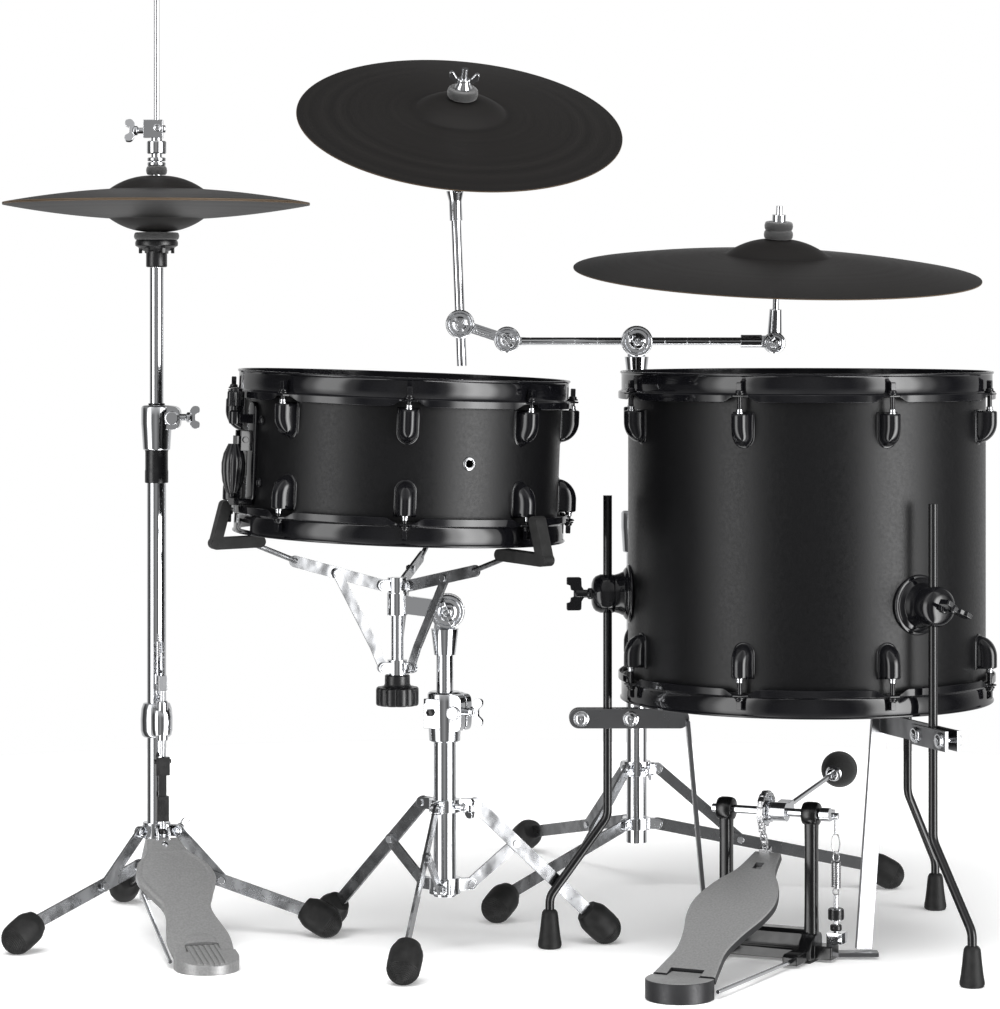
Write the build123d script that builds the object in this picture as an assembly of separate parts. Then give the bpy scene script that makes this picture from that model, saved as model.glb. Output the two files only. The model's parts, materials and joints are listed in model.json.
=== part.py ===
"""Acoustic drum kit of four voices: hi-hat, snare, crash and ride on boom arms, and a floor tom whose
bottom head is struck from below by a bass pedal. Millimetres, +Z up, floor at z = 0, the player's
side towards -Y, the long side of the kit along X. Angles of legs, lugs and pedals are measured
around each unit's upright axis from -Y, positive towards +X."""
from build123d import *
import math
import os

os.makedirs("parts", exist_ok=True)

# Where the units stand: upright axes of the stands and of the two drums.
HIHAT = (-410.2, -87.4)
SNARE_POLE = (-73.2, -229.4)
BASKET = (-126.2, -232.4)
CYMBAL_POLE = (159.8, 225.6)
TOM = (336.3, -180.4)

# Tripods.
HIHAT_LEG_ANGLE = -43.3
SNARE_LEG_ANGLE = -12.5
CYMBAL_LEG_ANGLE = -33.7
STRIP = 3.0  # thickness of the flat bars
SIDE_STEP = 1.6  # legs lie this far to one side of the radial plane, braces to the other
LEG_WIDTH = 15.0
BRACE_WIDTH = 13.0
RIVET = 2.4
FOOT_RADIUS = 18.5
FOOT_LENGTH = 22.0
FOOT_FLAT = 0.6

# Hi-hat stand and cymbals.
HIHAT_TUBE = 11.1
HIHAT_UPPER = 7.95
PULL_ROD = 3.175
ROD_TOP = 1081.0
HAT_RADIUS = 177.8
HAT_EDGE = 844.0
HAT_GAP = 0.15
HIHAT_PEDAL_ANGLE = 18.0
HIHAT_HINGE = (240.0, 14.0)  # distance in front of the pole, height
HIHAT_TOE = (31.0, 108.0)
LINK_TOP = 200.0

# Snare drum and its stand.
SNARE_TUBE = 12.7
SNARE_UPPER = 9.5
SNARE_SHELL = 177.0
SNARE_HEIGHT = 180.7
SNARE_CENTRE = (-121.6, -232.4, 558.0)
SNARE_ROLL = 2.15
SNARE_LUG_ANGLE = 3.4
STRAINER_ANGLE = -65.5
TILTER = (-70.2, 383.0)  # x and height of the tilter's axis
ARM_ANGLES = (48.0, -72.0, 168.0)
HOOK_CIRCLES = (208.0, 197.0, 197.0)  # the front hook passes outside a lug
ARM_PIVOT = (17.5, 412.5)
STRUT_FOOT = (17.5, 320.5)
STRUT_REACH = 71.0

# Floor tom.
TOM_SHELL = 202.0
TOM_BOTTOM = 280.0
TOM_TOP = 651.5
TOM_LUG_ANGLE = 20.5
TOM_LEG_ANGLES = (32.0, -86.0, 143.0)
TOM_LEG_CIRCLE = 226.5
TOM_FOOT_CIRCLE = 292.0
TOM_LEG_TOP = 511.0
TOM_BRACKET_HEIGHT = 400.0
SHELL_WALL = 6.0
LUGS = 8

# Cymbal stand, boom arm, crash and ride.
CYMBAL_TUBE = 12.7
CYMBAL_UPPER = 9.5
BOOM_Y = 220.6
BOOM_HEIGHT = 682.0
BOOM = 4.8
CRASH_JOINT_A = (-2.2, 684.0)
CRASH_JOINT_B = (-61.2, 703.5)
CRASH_ROD_TOP = (-67.2, 858.0)
CRASH_ROD_LOW = (-59.0, 651.0)
CRASH_KNUCKLE = (-68.4, BOOM_Y, 884.0)
CRASH_NORMAL = (0.094, -0.440, 0.893)
CRASH_RADIUS = 203.0
CRASH_STEM = 76.0
RIDE_TILTER = (331.8, BOOM_Y, 680.0)
RIDE_NORMAL = (0.027, -0.132, 0.991)
RIDE_RADIUS = 254.0
RIDE_STEM = 87.0

# Bass pedal.
KICK_ANGLE = -25.0
KICK = (288.3, -251.1, 162.0)
KICK_HINGE = (251.0, 19.0)
KICK_TOE = (2.5, 112.5)
POST_SPACING = 101.0
BEATER_LENGTH = 200.0
BEATER_RISE = 6.8
BEATER_RADIUS = 21.0
SPROCKET = 20.0
CHAIN_SLOPE = 27.0  # the chain runs down and back from the sprocket to the toe
CHAIN_LENGTH = 37.0

BOARD = 8.0  # thickness of the hi-hat's footboard
KICK_BOARD = 9.0
HINGE_PIN = 2.0
BRACKET_HEIGHT = 259.5  # height of the bracket bars that carry the bass pedal


def save(name, *solids):
    """Write one named piece, or one group of like pieces, to its own file."""
    export_step(solids[0] if len(solids) == 1 else Compound(children=list(solids)), f"parts/{name}.step")


def radial(centre, angle, height=0.0):
    """Frame on an upright axis: local X points outward at the angle, local Z up."""
    return Pos(centre[0], centre[1], height) * Rot(0, 0, angle - 90)


def aimed(origin, direction):
    """Frame at the origin whose local Z runs along the direction."""
    return Plane(origin=origin, z_dir=direction).location


def along_x(radius, start, end):
    """Round bar along local X."""
    return Pos((start + end) / 2, 0, 0) * Rot(0, 90, 0) * Cylinder(radius, end - start)


def along_y(radius, start, end):
    """Round bar along local Y."""
    return Pos(0, (start + end) / 2, 0) * Rot(90, 0, 0) * Cylinder(radius, end - start)


def along_z(radius, start, end):
    """Round bar along local Z."""
    return Pos(0, 0, (start + end) / 2) * Cylinder(radius, end - start)


def pipe(radius, bore, start, end):
    """Round tube along local Z."""
    return along_z(radius, start, end) - along_z(bore, start, end)


def block(x0, x1, y0, y1, z0, z1):
    """Box between two corners."""
    return Pos((x0 + x1) / 2, (y0 + y1) / 2, (z0 + z1) / 2) * Box(x1 - x0, y1 - y0, z1 - z0)


def rod(start, end, radius):
    """Round bar between two points."""
    line = Vector(end) - Vector(start)
    return aimed(start, line) * along_z(radius, 0, line.length)


def turned(*points):
    """Solid of revolution about local Z of a polygon of (radius, height) points."""
    return revolve(Plane.XZ * make_face(Polyline(*points, close=True)), Axis.Z)


def bent_rod(points, radius, bend):
    """Round bar along straight runs in the local XZ plane joined by bends."""
    path = Plane.XZ * FilletPolyline(*points, radius=bend)
    return sweep(Plane(origin=path @ 0, z_dir=path % 0) * Circle(radius), path=path)


def strip(points, width, thickness, shift=0.0, holes=(), bore=RIVET + 0.05):
    """Flat bar in the local XZ plane along the points, with round ends and holes across it."""
    face = Sketch()
    for (x0, z0), (x1, z1) in zip(points, points[1:]):
        slope = math.degrees(math.atan2(z1 - z0, x1 - x0))
        slot = SlotCenterToCenter(math.hypot(x1 - x0, z1 - z0), width)
        face += Pos((x0 + x1) / 2, (z0 + z1) / 2) * Rot(0, 0, slope) * slot
    for x, z in holes:
        face -= Pos(x, z) * Circle(bore)
    return Pos(0, shift, 0) * extrude(Plane.XZ * face, thickness / 2, both=True)


def rivet(point, start, end):
    """Rivet across the local XZ plane, with a flat head at each end."""
    heads = along_y(4.2, start - 1.4, start) + along_y(4.2, end, end + 1.4)
    return Pos(point[0], 0, point[1]) * (along_y(RIVET, start, end) + heads)


def wing_screw(shaft, length, span):
    """Wing screw along local X: a round shank and two flat wings that flare outward."""
    wings = make_face(Polyline((length - 3, 3), (length + 2, span / 2), (length + 11, span / 2 + 2),
                               (length + 10, span / 2 - 7), (length + 4, 0), (length + 10, 7 - span / 2),
                               (length + 11, -span / 2 - 2), (length + 2, -span / 2), (length - 3, -3),
                               close=True))
    return along_x(shaft, 0, length + 4) + extrude(Plane.XZ * wings, 2.2, both=True)


def hub(bore, wall, z, half_height, pivot, slot_side):
    """Ring on a stand's tube with three forks that hold strips lying to slot_side."""
    ring = pipe(bore + wall, bore, z - half_height, z + half_height)
    for turn in (0, 120, 240):
        for cheek in (-3.2, 3.2):
            ear = strip([(bore + wall - 2, z), (pivot[0], pivot[1])], 13.0, STRIP,
                        slot_side * SIDE_STEP + cheek, [pivot])
            ring += Rot(0, 0, turn) * ear
    return ring - along_z(bore, z - 20, z + 20)


def tripod(centre, angle, tube, leg_pivot, brace_pivot, crossing, foot_circle, foot_tilt):
    """Three flat legs with rubber feet, their braces, two hubs and the rivets between them."""
    tilt = math.radians(foot_tilt)
    ball = (foot_circle, FOOT_RADIUS - FOOT_FLAT)
    face = (ball[0] - FOOT_LENGTH * math.cos(tilt), ball[1] + FOOT_LENGTH * math.sin(tilt))
    inside = (face[0] + 8 * math.cos(tilt), face[1] - 8 * math.sin(tilt))
    share = (crossing - leg_pivot[0]) / (face[0] - leg_pivot[0])
    middle = (crossing, leg_pivot[1] + share * (face[1] - leg_pivot[1]))
    leg = strip([leg_pivot, face, inside], LEG_WIDTH, STRIP, -SIDE_STEP, [leg_pivot, middle])
    brace = strip([brace_pivot, middle], BRACE_WIDTH, STRIP, SIDE_STEP, [brace_pivot, middle])
    bullet = turned((0, 0), (FOOT_RADIUS - 2, 0), (FOOT_RADIUS, 3), (FOOT_RADIUS, FOOT_LENGTH),
                    (0, FOOT_LENGTH))
    bullet += Pos(0, 0, FOOT_LENGTH) * Sphere(FOOT_RADIUS)
    foot = Plane(origin=(face[0], 0, face[1]), z_dir=(math.cos(tilt), 0, -math.sin(tilt))).location * bullet
    foot = foot - leg - block(0, 500, -40, 40, -40, 0)
    half = SIDE_STEP + STRIP / 2 + 0.1
    pins = [rivet(middle, -half, half)]
    pins += [rivet(leg_pivot, -2 * half, half), rivet(brace_pivot, -half, 2 * half)]
    turns = [radial(centre, angle + step) for step in (0, 120, 240)]
    middle_frame = radial(centre, angle)
    return {
        "legs": [at * leg for at in turns],
        "braces": [at * brace for at in turns],
        "feet": [at * foot for at in turns],
        "rivets": [at * pin for at in turns for pin in pins],
        "hubs": [middle_frame * hub(tube, 5.0, leg_pivot[1], 7, leg_pivot, -1),
                 middle_frame * hub(tube, 5.0, brace_pivot[1], 9, brace_pivot, 1)],
    }


def cymbal(radius, bell_radius, bell_rise, bow_rise, hole, thickness=1.2):
    """Thin bowed disc with a bell, its rim in the plane z = 0."""
    bow = ThreePointArc((radius, 0), ((radius + bell_radius) / 2, bow_rise * 0.62), (bell_radius, bow_rise))
    top = bow_rise + bell_rise
    shoulder = (bell_radius * 0.62, bow_rise + bell_rise * 0.70)
    bell = ThreePointArc((bell_radius, bow_rise), shoulder, (hole, top))
    lift = Pos(0, thickness)
    sides = [Line((radius, 0), (radius, thickness)), Line((hole, top), (hole, top + thickness))]
    outline = make_face([bow, bell, lift * bow, lift * bell] + sides)
    return revolve(Plane.XZ * outline, Axis.Z)


def hoop(shell, lug_angle):
    """Flanged hoop with its rim at z = 0 and the drum below, with an ear for each tension rod."""
    inner, outer = shell + 5.5, shell + 7.5
    body = turned((inner, -24.5), (shell + 11, -24.5), (shell + 11, -22.5), (outer, -22.5), (outer, -3),
                  (shell + 9, -2), (shell + 9, 0), (inner, 0), (inner, -18.8), (shell + 1.6, -18.8),
                  (shell + 1.6, -20.8), (inner, -20.8))
    skirt = turned((shell + 9, -31), (shell + 11, -31), (shell + 11, -24), (shell + 9, -24))
    for k in range(LUGS):
        at = Rot(0, 0, lug_angle - 90 + k * 360 / LUGS)
        skirt -= at * Pos(shell + 10, 0, -36) * Rot(0, 90, 0) * Cylinder(16, 12)
        ear = Pos(shell + 13, 0, -23.5) * Cylinder(6.5, 2)
        ear += block(shell + 8, shell + 13, -6.5, 6.5, -24.5, -22.5)
        body += at * ear
    body += skirt
    for k in range(LUGS):
        at = Rot(0, 0, lug_angle - 90 + k * 360 / LUGS)
        body -= at * Pos(shell + 13, 0, -24) * Cylinder(3.2, 8)
    return body


def head(shell):
    """Drum head: film, its skirt and the flesh hoop, below a rim at z = 0."""
    return turned((0, -12.6), (shell + 0.6, -12.6), (shell + 0.6, -26), (shell + 5, -26), (shell + 5, -21),
                  (shell + 1.2, -21), (shell + 1.2, -12), (0, -12))


def shell_tube(shell, height):
    """Drum shell centred on the origin, with a bearing edge at each end."""
    half = height / 2 - 12.7
    inner = shell - SHELL_WALL
    return turned((inner, -half + 4), (inner + 3, -half), (shell, -half + 2), (shell, half - 2),
                  (inner + 3, half), (inner, half - 4))


def lug(shell, top, height):
    """Half-bullet lug on the shell wall, flat end towards the hoop, with its chrome nut above."""
    width, depth = 21.0, 22.0
    centre = top - height + width / 2
    front = Pos(0, (top + centre) / 2) * Rectangle(width, top - centre) + Pos(0, centre) * Circle(width / 2)
    side = make_face([Line((0, top), (depth, top)), Line((0, top), (0, top - height)),
                      ThreePointArc((depth, top), (depth * 0.80, top - height * 0.62), (0, top - height))])
    body = extrude(Plane.YZ * front, depth + 2) & extrude(Plane.XZ * side, width, both=True)
    body = Pos(shell - 0.9, 0, 0) * body + Pos(shell - 2, 0, 0) * extrude(
        Plane.YZ * (front + Pos(0, (top + centre) / 2) * Rectangle(width + 4, top - centre + 2)), 3)
    body += Pos(shell + 13, 0, 0) * along_z(3.8, top - 2, top + 5)
    return body - along_z(shell + 0.02, top - 2 * height, top + height)


def tension_rod(shell, ear, lug_end):
    """Square-headed rod from the hoop's ear down to the lug's nut."""
    shank = along_z(2.6, lug_end, ear)
    head_end = along_z(5.4, ear + 0.1, ear + 2.6) + along_z(4.0, ear + 2.5, ear + 5)
    head_end += Pos(0, 0, ear + 9) * Box(5, 5, 9)
    return Pos(shell + 13, 0, 0) * (shank + along_z(2.6, ear, ear + 1) + head_end)


def drum(shell, height, lug_angle, lug_top, lug_height):
    """Shell, hoops, heads, lugs and rods of a drum centred on the origin."""
    half = height / 2
    upper, lower = Pos(0, 0, half), Pos(0, 0, -half) * Rot(180, 0, 0)
    one_lug = lug(shell, lug_top, lug_height)
    one_rod = tension_rod(shell, half - 22.5, lug_top + 5.1)
    spots = [Rot(0, 0, lug_angle - 90 + k * 360 / LUGS) for k in range(LUGS)]
    flip = Rot(180, 0, 0)
    return {
        "shell": shell_tube(shell, height),
        "hoops": [upper * hoop(shell, lug_angle), lower * hoop(shell, 180 - lug_angle)],
        "heads": [upper * head(shell), lower * head(shell)],
        "lugs": [at * one_lug for at in spots] + [at * flip * one_lug for at in spots],
        "rods": [at * one_rod for at in spots] + [at * flip * one_rod for at in spots],
    }


def board(hinge, toe, outline, thickness, notch):
    """Footboard in a pedal's frame: X runs from the pole to the heel, the outline from heel to toe."""
    run = math.hypot(hinge[0] - toe[0], toe[1] - hinge[1])
    slope = math.degrees(math.atan2(toe[1] - hinge[1], hinge[0] - toe[0]))
    half = [(u * run, w) for u, w in outline]
    edge = Spline(*half)
    other = Spline(*[(u, -w) for u, w in half])
    ends = [Line(point, (point[0], -point[1])) for point in (half[0], half[-1])]
    plan = make_face([edge, other] + ends)
    plate = extrude(plan, thickness / 2, both=True) + along_y(thickness / 2, -half[0][1], half[0][1])
    plate -= block(-thickness, notch, -19, 19, -thickness, thickness) + along_y(HINGE_PIN + 0.08, -60, 60)
    return Pos(hinge[0], 0, hinge[1]) * Rot(0, slope, 0) * Rot(0, 0, 180) * plate


def heel_plate(hinge, width, length, thickness, notch):
    """Heel plate in a pedal's frame, with a rounded back, and the tongue and pin of the board's hinge."""
    start = hinge[0] + 5
    back = Pos(start + (length - width / 2) / 2, 0) * Rectangle(length - width / 2, width)
    plan = back + Pos(start + length - width / 2) * Circle(width / 2)
    plan = plan & (Pos(start + length / 2, 0) * Rectangle(length, width))
    tongue = block(hinge[0] - notch, start + 1, -18, 18, 4, thickness - 1)
    return extrude(plan, thickness) + tongue + Pos(hinge[0], 0, hinge[1]) * along_y(HINGE_PIN, -30, 30)


# Hi-hat stand -------------------------------------------------------------------------------------
hihat = tripod(HIHAT, HIHAT_LEG_ANGLE, HIHAT_TUBE, (25.0, 78.0), (25.0, 117.0), 80.0, 205.0, 30.0)
hihat_pedal = radial(HIHAT, HIHAT_PEDAL_ANGLE)
hihat_tube = pipe(HIHAT_TUBE, 9.6, 60, 533) - block(0, 20, -5, 5, 276, 336)
hihat_casting = pipe(18.0, HIHAT_TUBE, 225, 265) + block(12, 39, -11, 11, 228, 262)
hihat_casting -= along_z(HIHAT_TUBE, 220, 270) + Pos(31, 0, 0) * along_z(3.3, 220, 270)
hihat_clamp = pipe(16.5, 11.2, 558, 610) + block(8, 26, -9, 9, 582, 608)
hihat_clamp -= along_z(11.2, 550, 620) + block(11, 27, -1, 1, 580, 612)
hihat_bushing = turned((8.0, 520), (9.5, 520), (9.5, 533.2), (13, 533.2), (13, 557.8), (11.0, 557.8),
                       (11.0, 604), (8.0, 604))
hihat_base = Pos(HIHAT[0], HIHAT[1], 0)

save("hihat_upper_tube", hihat_base * pipe(HIHAT_UPPER, 5.0, 425, 770))
save("hihat_seat", hihat_base * turned((4, 770.2), (12, 770.2), (12, 790), (21, 792), (23, 802), (4, 802)))
save("hihat_seat_felt", hihat_base * pipe(26, 8, 802.2, 810.8))
hat = cymbal(HAT_RADIUS, 55.0, 16.0, 15.5, 7.0)
save("hihat_bottom_cymbal", Pos(HIHAT[0], HIHAT[1], HAT_EDGE - HAT_GAP) * Rot(180, 0, 0) * hat)
save("hihat_top_cymbal", Pos(HIHAT[0], HIHAT[1], HAT_EDGE + HAT_GAP) * hat)

pull_block = block(-4, 36, -4.6, 4.6, 281, 299)
pull_rod = along_z(PULL_ROD, 281, ROD_TOP) + pull_block + Pos(31, 0, 0) * along_z(3.2, LINK_TOP + 6.2, 290)
pull_rod -= pipe(5.0, 3.0, 944, 946)
save("hihat_pull_rod", hihat_pedal * pull_rod)
clutch = pipe(6.2, PULL_ROD + 0.05, 858, 905) + pipe(9.5, 3.225, 858, 866.5) + pipe(9.5, 3.225, 888, 904)
clutch += pipe(8.0, 3.225, 904, 943)
clutch_screw = Pos(HIHAT[0] - 8.0, HIHAT[1], 927) * Rot(0, 0, 180) * wing_screw(3.5, 12, 16)
save("hihat_clutch", hihat_base * clutch, clutch_screw)
lower_felt, upper_felt = pipe(11, 6.3, 866.7, 874.9), pipe(12, 6.3, 877.6, 887.8)
save("hihat_clutch_felts", hihat_base * lower_felt, hihat_base * upper_felt)
link = Pos(31, 0, 0) * (block(-4, 4, -8, 8, 184, LINK_TOP + 5) + Pos(0, 0, LINK_TOP) * along_y(2.5, -10, 10)
                        + block(-2, 2, -4.5, 4.5, 158, 190)
                        + block(-4, 4, -7, 7, 131, 160) + along_z(3, 119, 132) + Pos(0, 0, 119) * Sphere(5))
save("hihat_link", hihat_pedal * link)
hihat_outline = [(0, 34), (0.14, 35), (0.36, 26.5), (0.50, 35), (0.64, 45), (0.77, 40), (0.88, 25), (1, 19)]
toe_cheeks = block(25, 37, 5.4, 8.4, 106, 124) + block(25, 37, -8.4, -5.4, 106, 124)
hihat_board = board(HIHAT_HINGE, HIHAT_TOE, hihat_outline, BOARD, 14) + toe_cheeks
save("hihat_footboard", hihat_pedal * hihat_board)
hihat_heel = heel_plate(HIHAT_HINGE, 70, 47, 19, 12)
hihat_stirrup = block(8, 17, -22, 22, 38, 50) - along_z(HIHAT_TUBE + 0.02, 20, 70)
for side in (-1, 1):
    hihat_stirrup += rod((14, side * 20, 44), (240, side * 37.4, 8), 2.2)

# Snare stand --------------------------------------------------------------------------------------
snare_tripod = tripod(SNARE_POLE, SNARE_LEG_ANGLE, SNARE_TUBE, (35.0, 165.5), (31.0, 76.0), 84.0,
                      190.0, 43.0)
snare_base = Pos(SNARE_POLE[0], SNARE_POLE[1], 0)
snare_tube = pipe(SNARE_TUBE, 11.2, 64, 250)
snare_clamp = turned((12.72, 237), (17, 237), (19, 262), (19, 293), (9.6, 293), (9.6, 252), (12.72, 252))
snare_clamp += block(6, 27, -12, 12, 250, 292) + block(-20, 10, -21, -10, 258, 288)
snare_clamp -= along_z(9.6, 230, 300) + along_z(12.72, 230, 252) + block(19, 28, -1, 1, 248, 294)
snare_upper = pipe(SNARE_UPPER, 7.8, 115, 334)
tilter_y = SNARE_POLE[1]
tilter_at = Pos(TILTER[0], tilter_y, TILTER[1])
socket = snare_base * turned((0, 334.2), (12, 334.2), (15.5, 363.4), (0, 363.4))
socket += tilter_at * along_y(19, 1, 11) + snare_base * block(-12, 12, 1, 11, 355, 384)
save("snare_stand_upper", snare_base * snare_upper, socket)
basket_at = Pos(BASKET[0], BASKET[1], 0)
arm_line = [(BASKET[0], 392.0), (TILTER[0] - 4, 385.0)]
tilter_arm = tilter_at * along_y(19, -11, 0.7)
tilter_arm += Pos(0, tilter_y - 5.4, 0) * strip(arm_line, 20.0, 10.6)
tilter_arm += basket_at * along_z(11.5, 379, 403.5)
tilter_arm -= basket_at * along_z(7.05, 370, 410)
tilter_screw = tilter_at * Pos(0, -11.2, 0) * Rot(0, 0, -90) * Rot(25, 0, 0) * wing_screw(4.0, 7, 22)
save("snare_tilter", tilter_arm, tilter_screw)
stem = along_z(7.0, 300, 421)


def basket_hub(pivot, shift):
    """Three-forked hub on the basket's stem, its forks shifted to one side of the radial planes."""
    z = pivot[1]
    ring = pipe(11.0, 7.05, z - 8.3, z + 8.3)
    for turn in ARM_ANGLES:
        for cheek in (-3.3, 3.3):
            ring += Rot(0, 0, turn - 90) * strip([(9.5, z), pivot], 12.0, STRIP, shift + cheek, [pivot])
    return basket_at * (ring - along_z(7.05, z - 20, z + 20))


STRUT_SIDE = STRIP + 0.2
arms, struts, grips, basket_pins = [], [], [], []
for angle, hook in zip(ARM_ANGLES, HOOK_CIRCLES):
    turn = math.radians(angle)
    droop = math.tan(math.radians(SNARE_ROLL)) * math.sin(turn)
    rest_height = SNARE_CENTRE[2] - SNARE_HEIGHT / 2 - 3.5
    seat = 166.0
    tip_z = rest_height - droop * (seat + 4) - 5.0
    grip_z = rest_height - droop * hook - 4.0
    knee = (118.0, ARM_PIVOT[1] + (tip_z - 10 - ARM_PIVOT[1]) * (118.0 - 17.5) / (seat - 17.5))
    reach_z = ARM_PIVOT[1] + (knee[1] - ARM_PIVOT[1]) * (STRUT_REACH - 17.5) / (118.0 - 17.5)
    crossing = (STRUT_REACH, reach_z)
    at = radial(BASKET, angle)
    arm = strip([ARM_PIVOT, knee], 13.0, STRIP, 0, [ARM_PIVOT, crossing])
    arm += rod((knee[0] - 2, 0, knee[1]), (seat + 8, 0, tip_z), 3.0)
    arms.append(at * arm)
    strut = strip([STRUT_FOOT, (28, 345), crossing], 10.0, STRIP, STRUT_SIDE, [crossing, STRUT_FOOT])
    struts.append(at * strut)
    grip = strip([(160, tip_z - 0.5), (hook + 12, grip_z - 4)], 13.0, 17.0)
    grip += strip([(hook + 12, grip_z - 4), (hook + 1, grip_z + 38)], 11.0, 17.0)
    grips.append(at * (grip - arm))
    basket_pins.append(at * rivet(ARM_PIVOT, -4.9, 4.9))
    basket_pins.append(at * rivet(crossing, -1.7, 4.9))
    basket_pins.append(at * rivet(STRUT_FOOT, -1.7, 8.1))
save("basket_arms", *arms)
save("basket_struts", *struts)
save("basket_grips", *grips)
save("basket_hubs", basket_hub(ARM_PIVOT, 0), basket_hub(STRUT_FOOT, STRUT_SIDE), basket_at * stem,
     *basket_pins)
knob = turned((7.05, 312), (13.5, 312), (14, 301), (24.3, 298), (24.3, 280), (21, 278), (0, 278),
              (0, 299.8), (7.05, 299.8))
for k in range(12):
    knob -= Rot(0, 0, 30 * k) * Pos(25.6, 0, 0) * along_z(2.6, 270, 298)
save("basket_knob", basket_at * knob)

# Snare drum ---------------------------------------------------------------------------------------
snare_at = Pos(*SNARE_CENTRE) * Rot(0, SNARE_ROLL, 0)
snare = drum(SNARE_SHELL, SNARE_HEIGHT, SNARE_LUG_ANGLE, 57.0, 36.5)
strainer_turn = Rot(0, 0, STRAINER_ANGLE - 90)
gate = strainer_turn * block(150, 200, -17, 17, -SNARE_HEIGHT / 2 + 5, -SNARE_HEIGHT / 2 + 17)
far_gate = Rot(0, 0, 180) * gate
snare["hoops"][1] = snare["hoops"][1] - gate - far_gate
vent_turn = Rot(0, 0, SNARE_LUG_ANGLE + 22.5 - 90)
vent = vent_turn * along_x(4.0, 150, 190)
grommet = vent_turn * (along_x(7.0, SNARE_SHELL, SNARE_SHELL + 2) - along_x(4.0, 160, 190))
grommet -= along_z(SNARE_SHELL + 0.02, -30, 30)
save("snare_shell", snare_at * (snare["shell"] - vent))
save("snare_hoops", *[snare_at * piece for piece in snare["hoops"]])
save("snare_heads", *[snare_at * piece for piece in snare["heads"]])
save("snare_lugs", *[snare_at * piece for piece in snare["lugs"]])
save("snare_tension_rods", *[snare_at * piece for piece in snare["rods"]])
wall = SNARE_SHELL
strainer = block(wall - 2, wall + 4, -13, 13, -57, 56) + block(wall + 3, wall + 20, -10, -6, -6, 22)
strainer += block(wall + 3, wall + 20, 6, 10, -6, 22) + block(wall + 3, wall + 12, -10, 10, 26, 54)
strainer += Pos(wall + 13, 0, 0) * along_z(9.6, 38, 55) + block(wall + 3, wall + 14, -8, 8, -57, -51)
strainer -= Pos(wall + 13, 0, 14) * along_y(3.05, -12, 12) + along_z(wall + 0.02, -80, 80)
butt = Rot(0, 0, 180) * (block(wall - 2, wall + 11, -14, 14, -57, -22) - along_z(wall + 0.02, -80, 80))
strainer_at = snare_at * strainer_turn
save("snare_strainer", strainer_at * strainer, strainer_at * butt, snare_at * grommet)
lever = Pos(wall + 13, 0, 14) * along_y(3.0, -9.9, 9.9) + block(wall + 7, wall + 19, -5.6, 5.6, 6, 17)
lever_handle = turned((0, -50), (6, -50), (8.5, -32), (8.5, -18), (5.5, -8), (5.5, 8), (0, 8))
lever += Pos(wall + 15.5, 0, 0) * lever_handle
save("strainer_lever", strainer_at * lever)
wire_z = -SNARE_HEIGHT / 2 + 9.2
wires = [block(-150, 150, -19 + 4.2 * k, -17.4 + 4.2 * k, wire_z - 0.8, wire_z + 0.8) for k in range(10)]
carriers = [block(s * 158 - 9, s * 158 + 9, -21, 21, wire_z - 1.0, wire_z + 1.0) for s in (-1, 1)]
wire_set = carriers[0] + carriers[1]
for piece in wires:
    wire_set += piece
save("snare_wires", snare_at * strainer_turn * wire_set)

# Floor tom ----------------------------------------------------------------------------------------
tom_height = TOM_TOP - TOM_BOTTOM
tom_at = Pos(TOM[0], TOM[1], (TOM_TOP + TOM_BOTTOM) / 2)
tom = drum(TOM_SHELL, tom_height, TOM_LUG_ANGLE, tom_height / 2 - 43.0, 36.0)
save("tom_shell", tom_at * tom["shell"])
save("tom_hoops", *[tom_at * piece for piece in tom["hoops"]])
save("tom_heads", *[tom_at * piece for piece in tom["heads"]])
save("tom_lugs", *[tom_at * piece for piece in tom["lugs"]])
save("tom_tension_rods", *[tom_at * piece for piece in tom["rods"]])
bracket = aimed((TOM_SHELL - 1.5, 0, 0), (1, 0, 0)) * turned((0, 0), (32, 0), (31, 5), (24, 9), (21, 14),
                                                             (20, 38), (17, 41), (0, 41))
bracket -= Pos(TOM_LEG_CIRCLE, 0, 0) * along_z(5.05, -50, 50) + along_z(TOM_SHELL + 0.02, -60, 60)
leg_screw = Pos(TOM_SHELL + 39.6, 0, 0) * wing_screw(4.0, 10, 26)
leg_path = [(TOM_LEG_CIRCLE, TOM_LEG_TOP), (TOM_LEG_CIRCLE, 148), (TOM_FOOT_CIRCLE, 58),
            (TOM_FOOT_CIRCLE, 12)]
leg_bar = bent_rod(leg_path, 5.0, 22)
foot = Pos(TOM_FOOT_CIRCLE, 0, 0) * (turned((0, 0), (11, 0), (13.5, 4), (12, 14), (9, 44), (0, 44)))
leg_foot = foot - Pos(TOM_FOOT_CIRCLE, 0, 0) * along_z(5.0, 12, 60) - leg_bar
legs_at = [radial(TOM, angle) for angle in TOM_LEG_ANGLES]
save("tom_leg_brackets", *[at * Pos(0, 0, TOM_BRACKET_HEIGHT) * piece for at in legs_at
                           for piece in (bracket, leg_screw)])
save("tom_legs", *[at * leg_bar for at in legs_at])
tom_feet = [at * leg_foot for at in legs_at]

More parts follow.
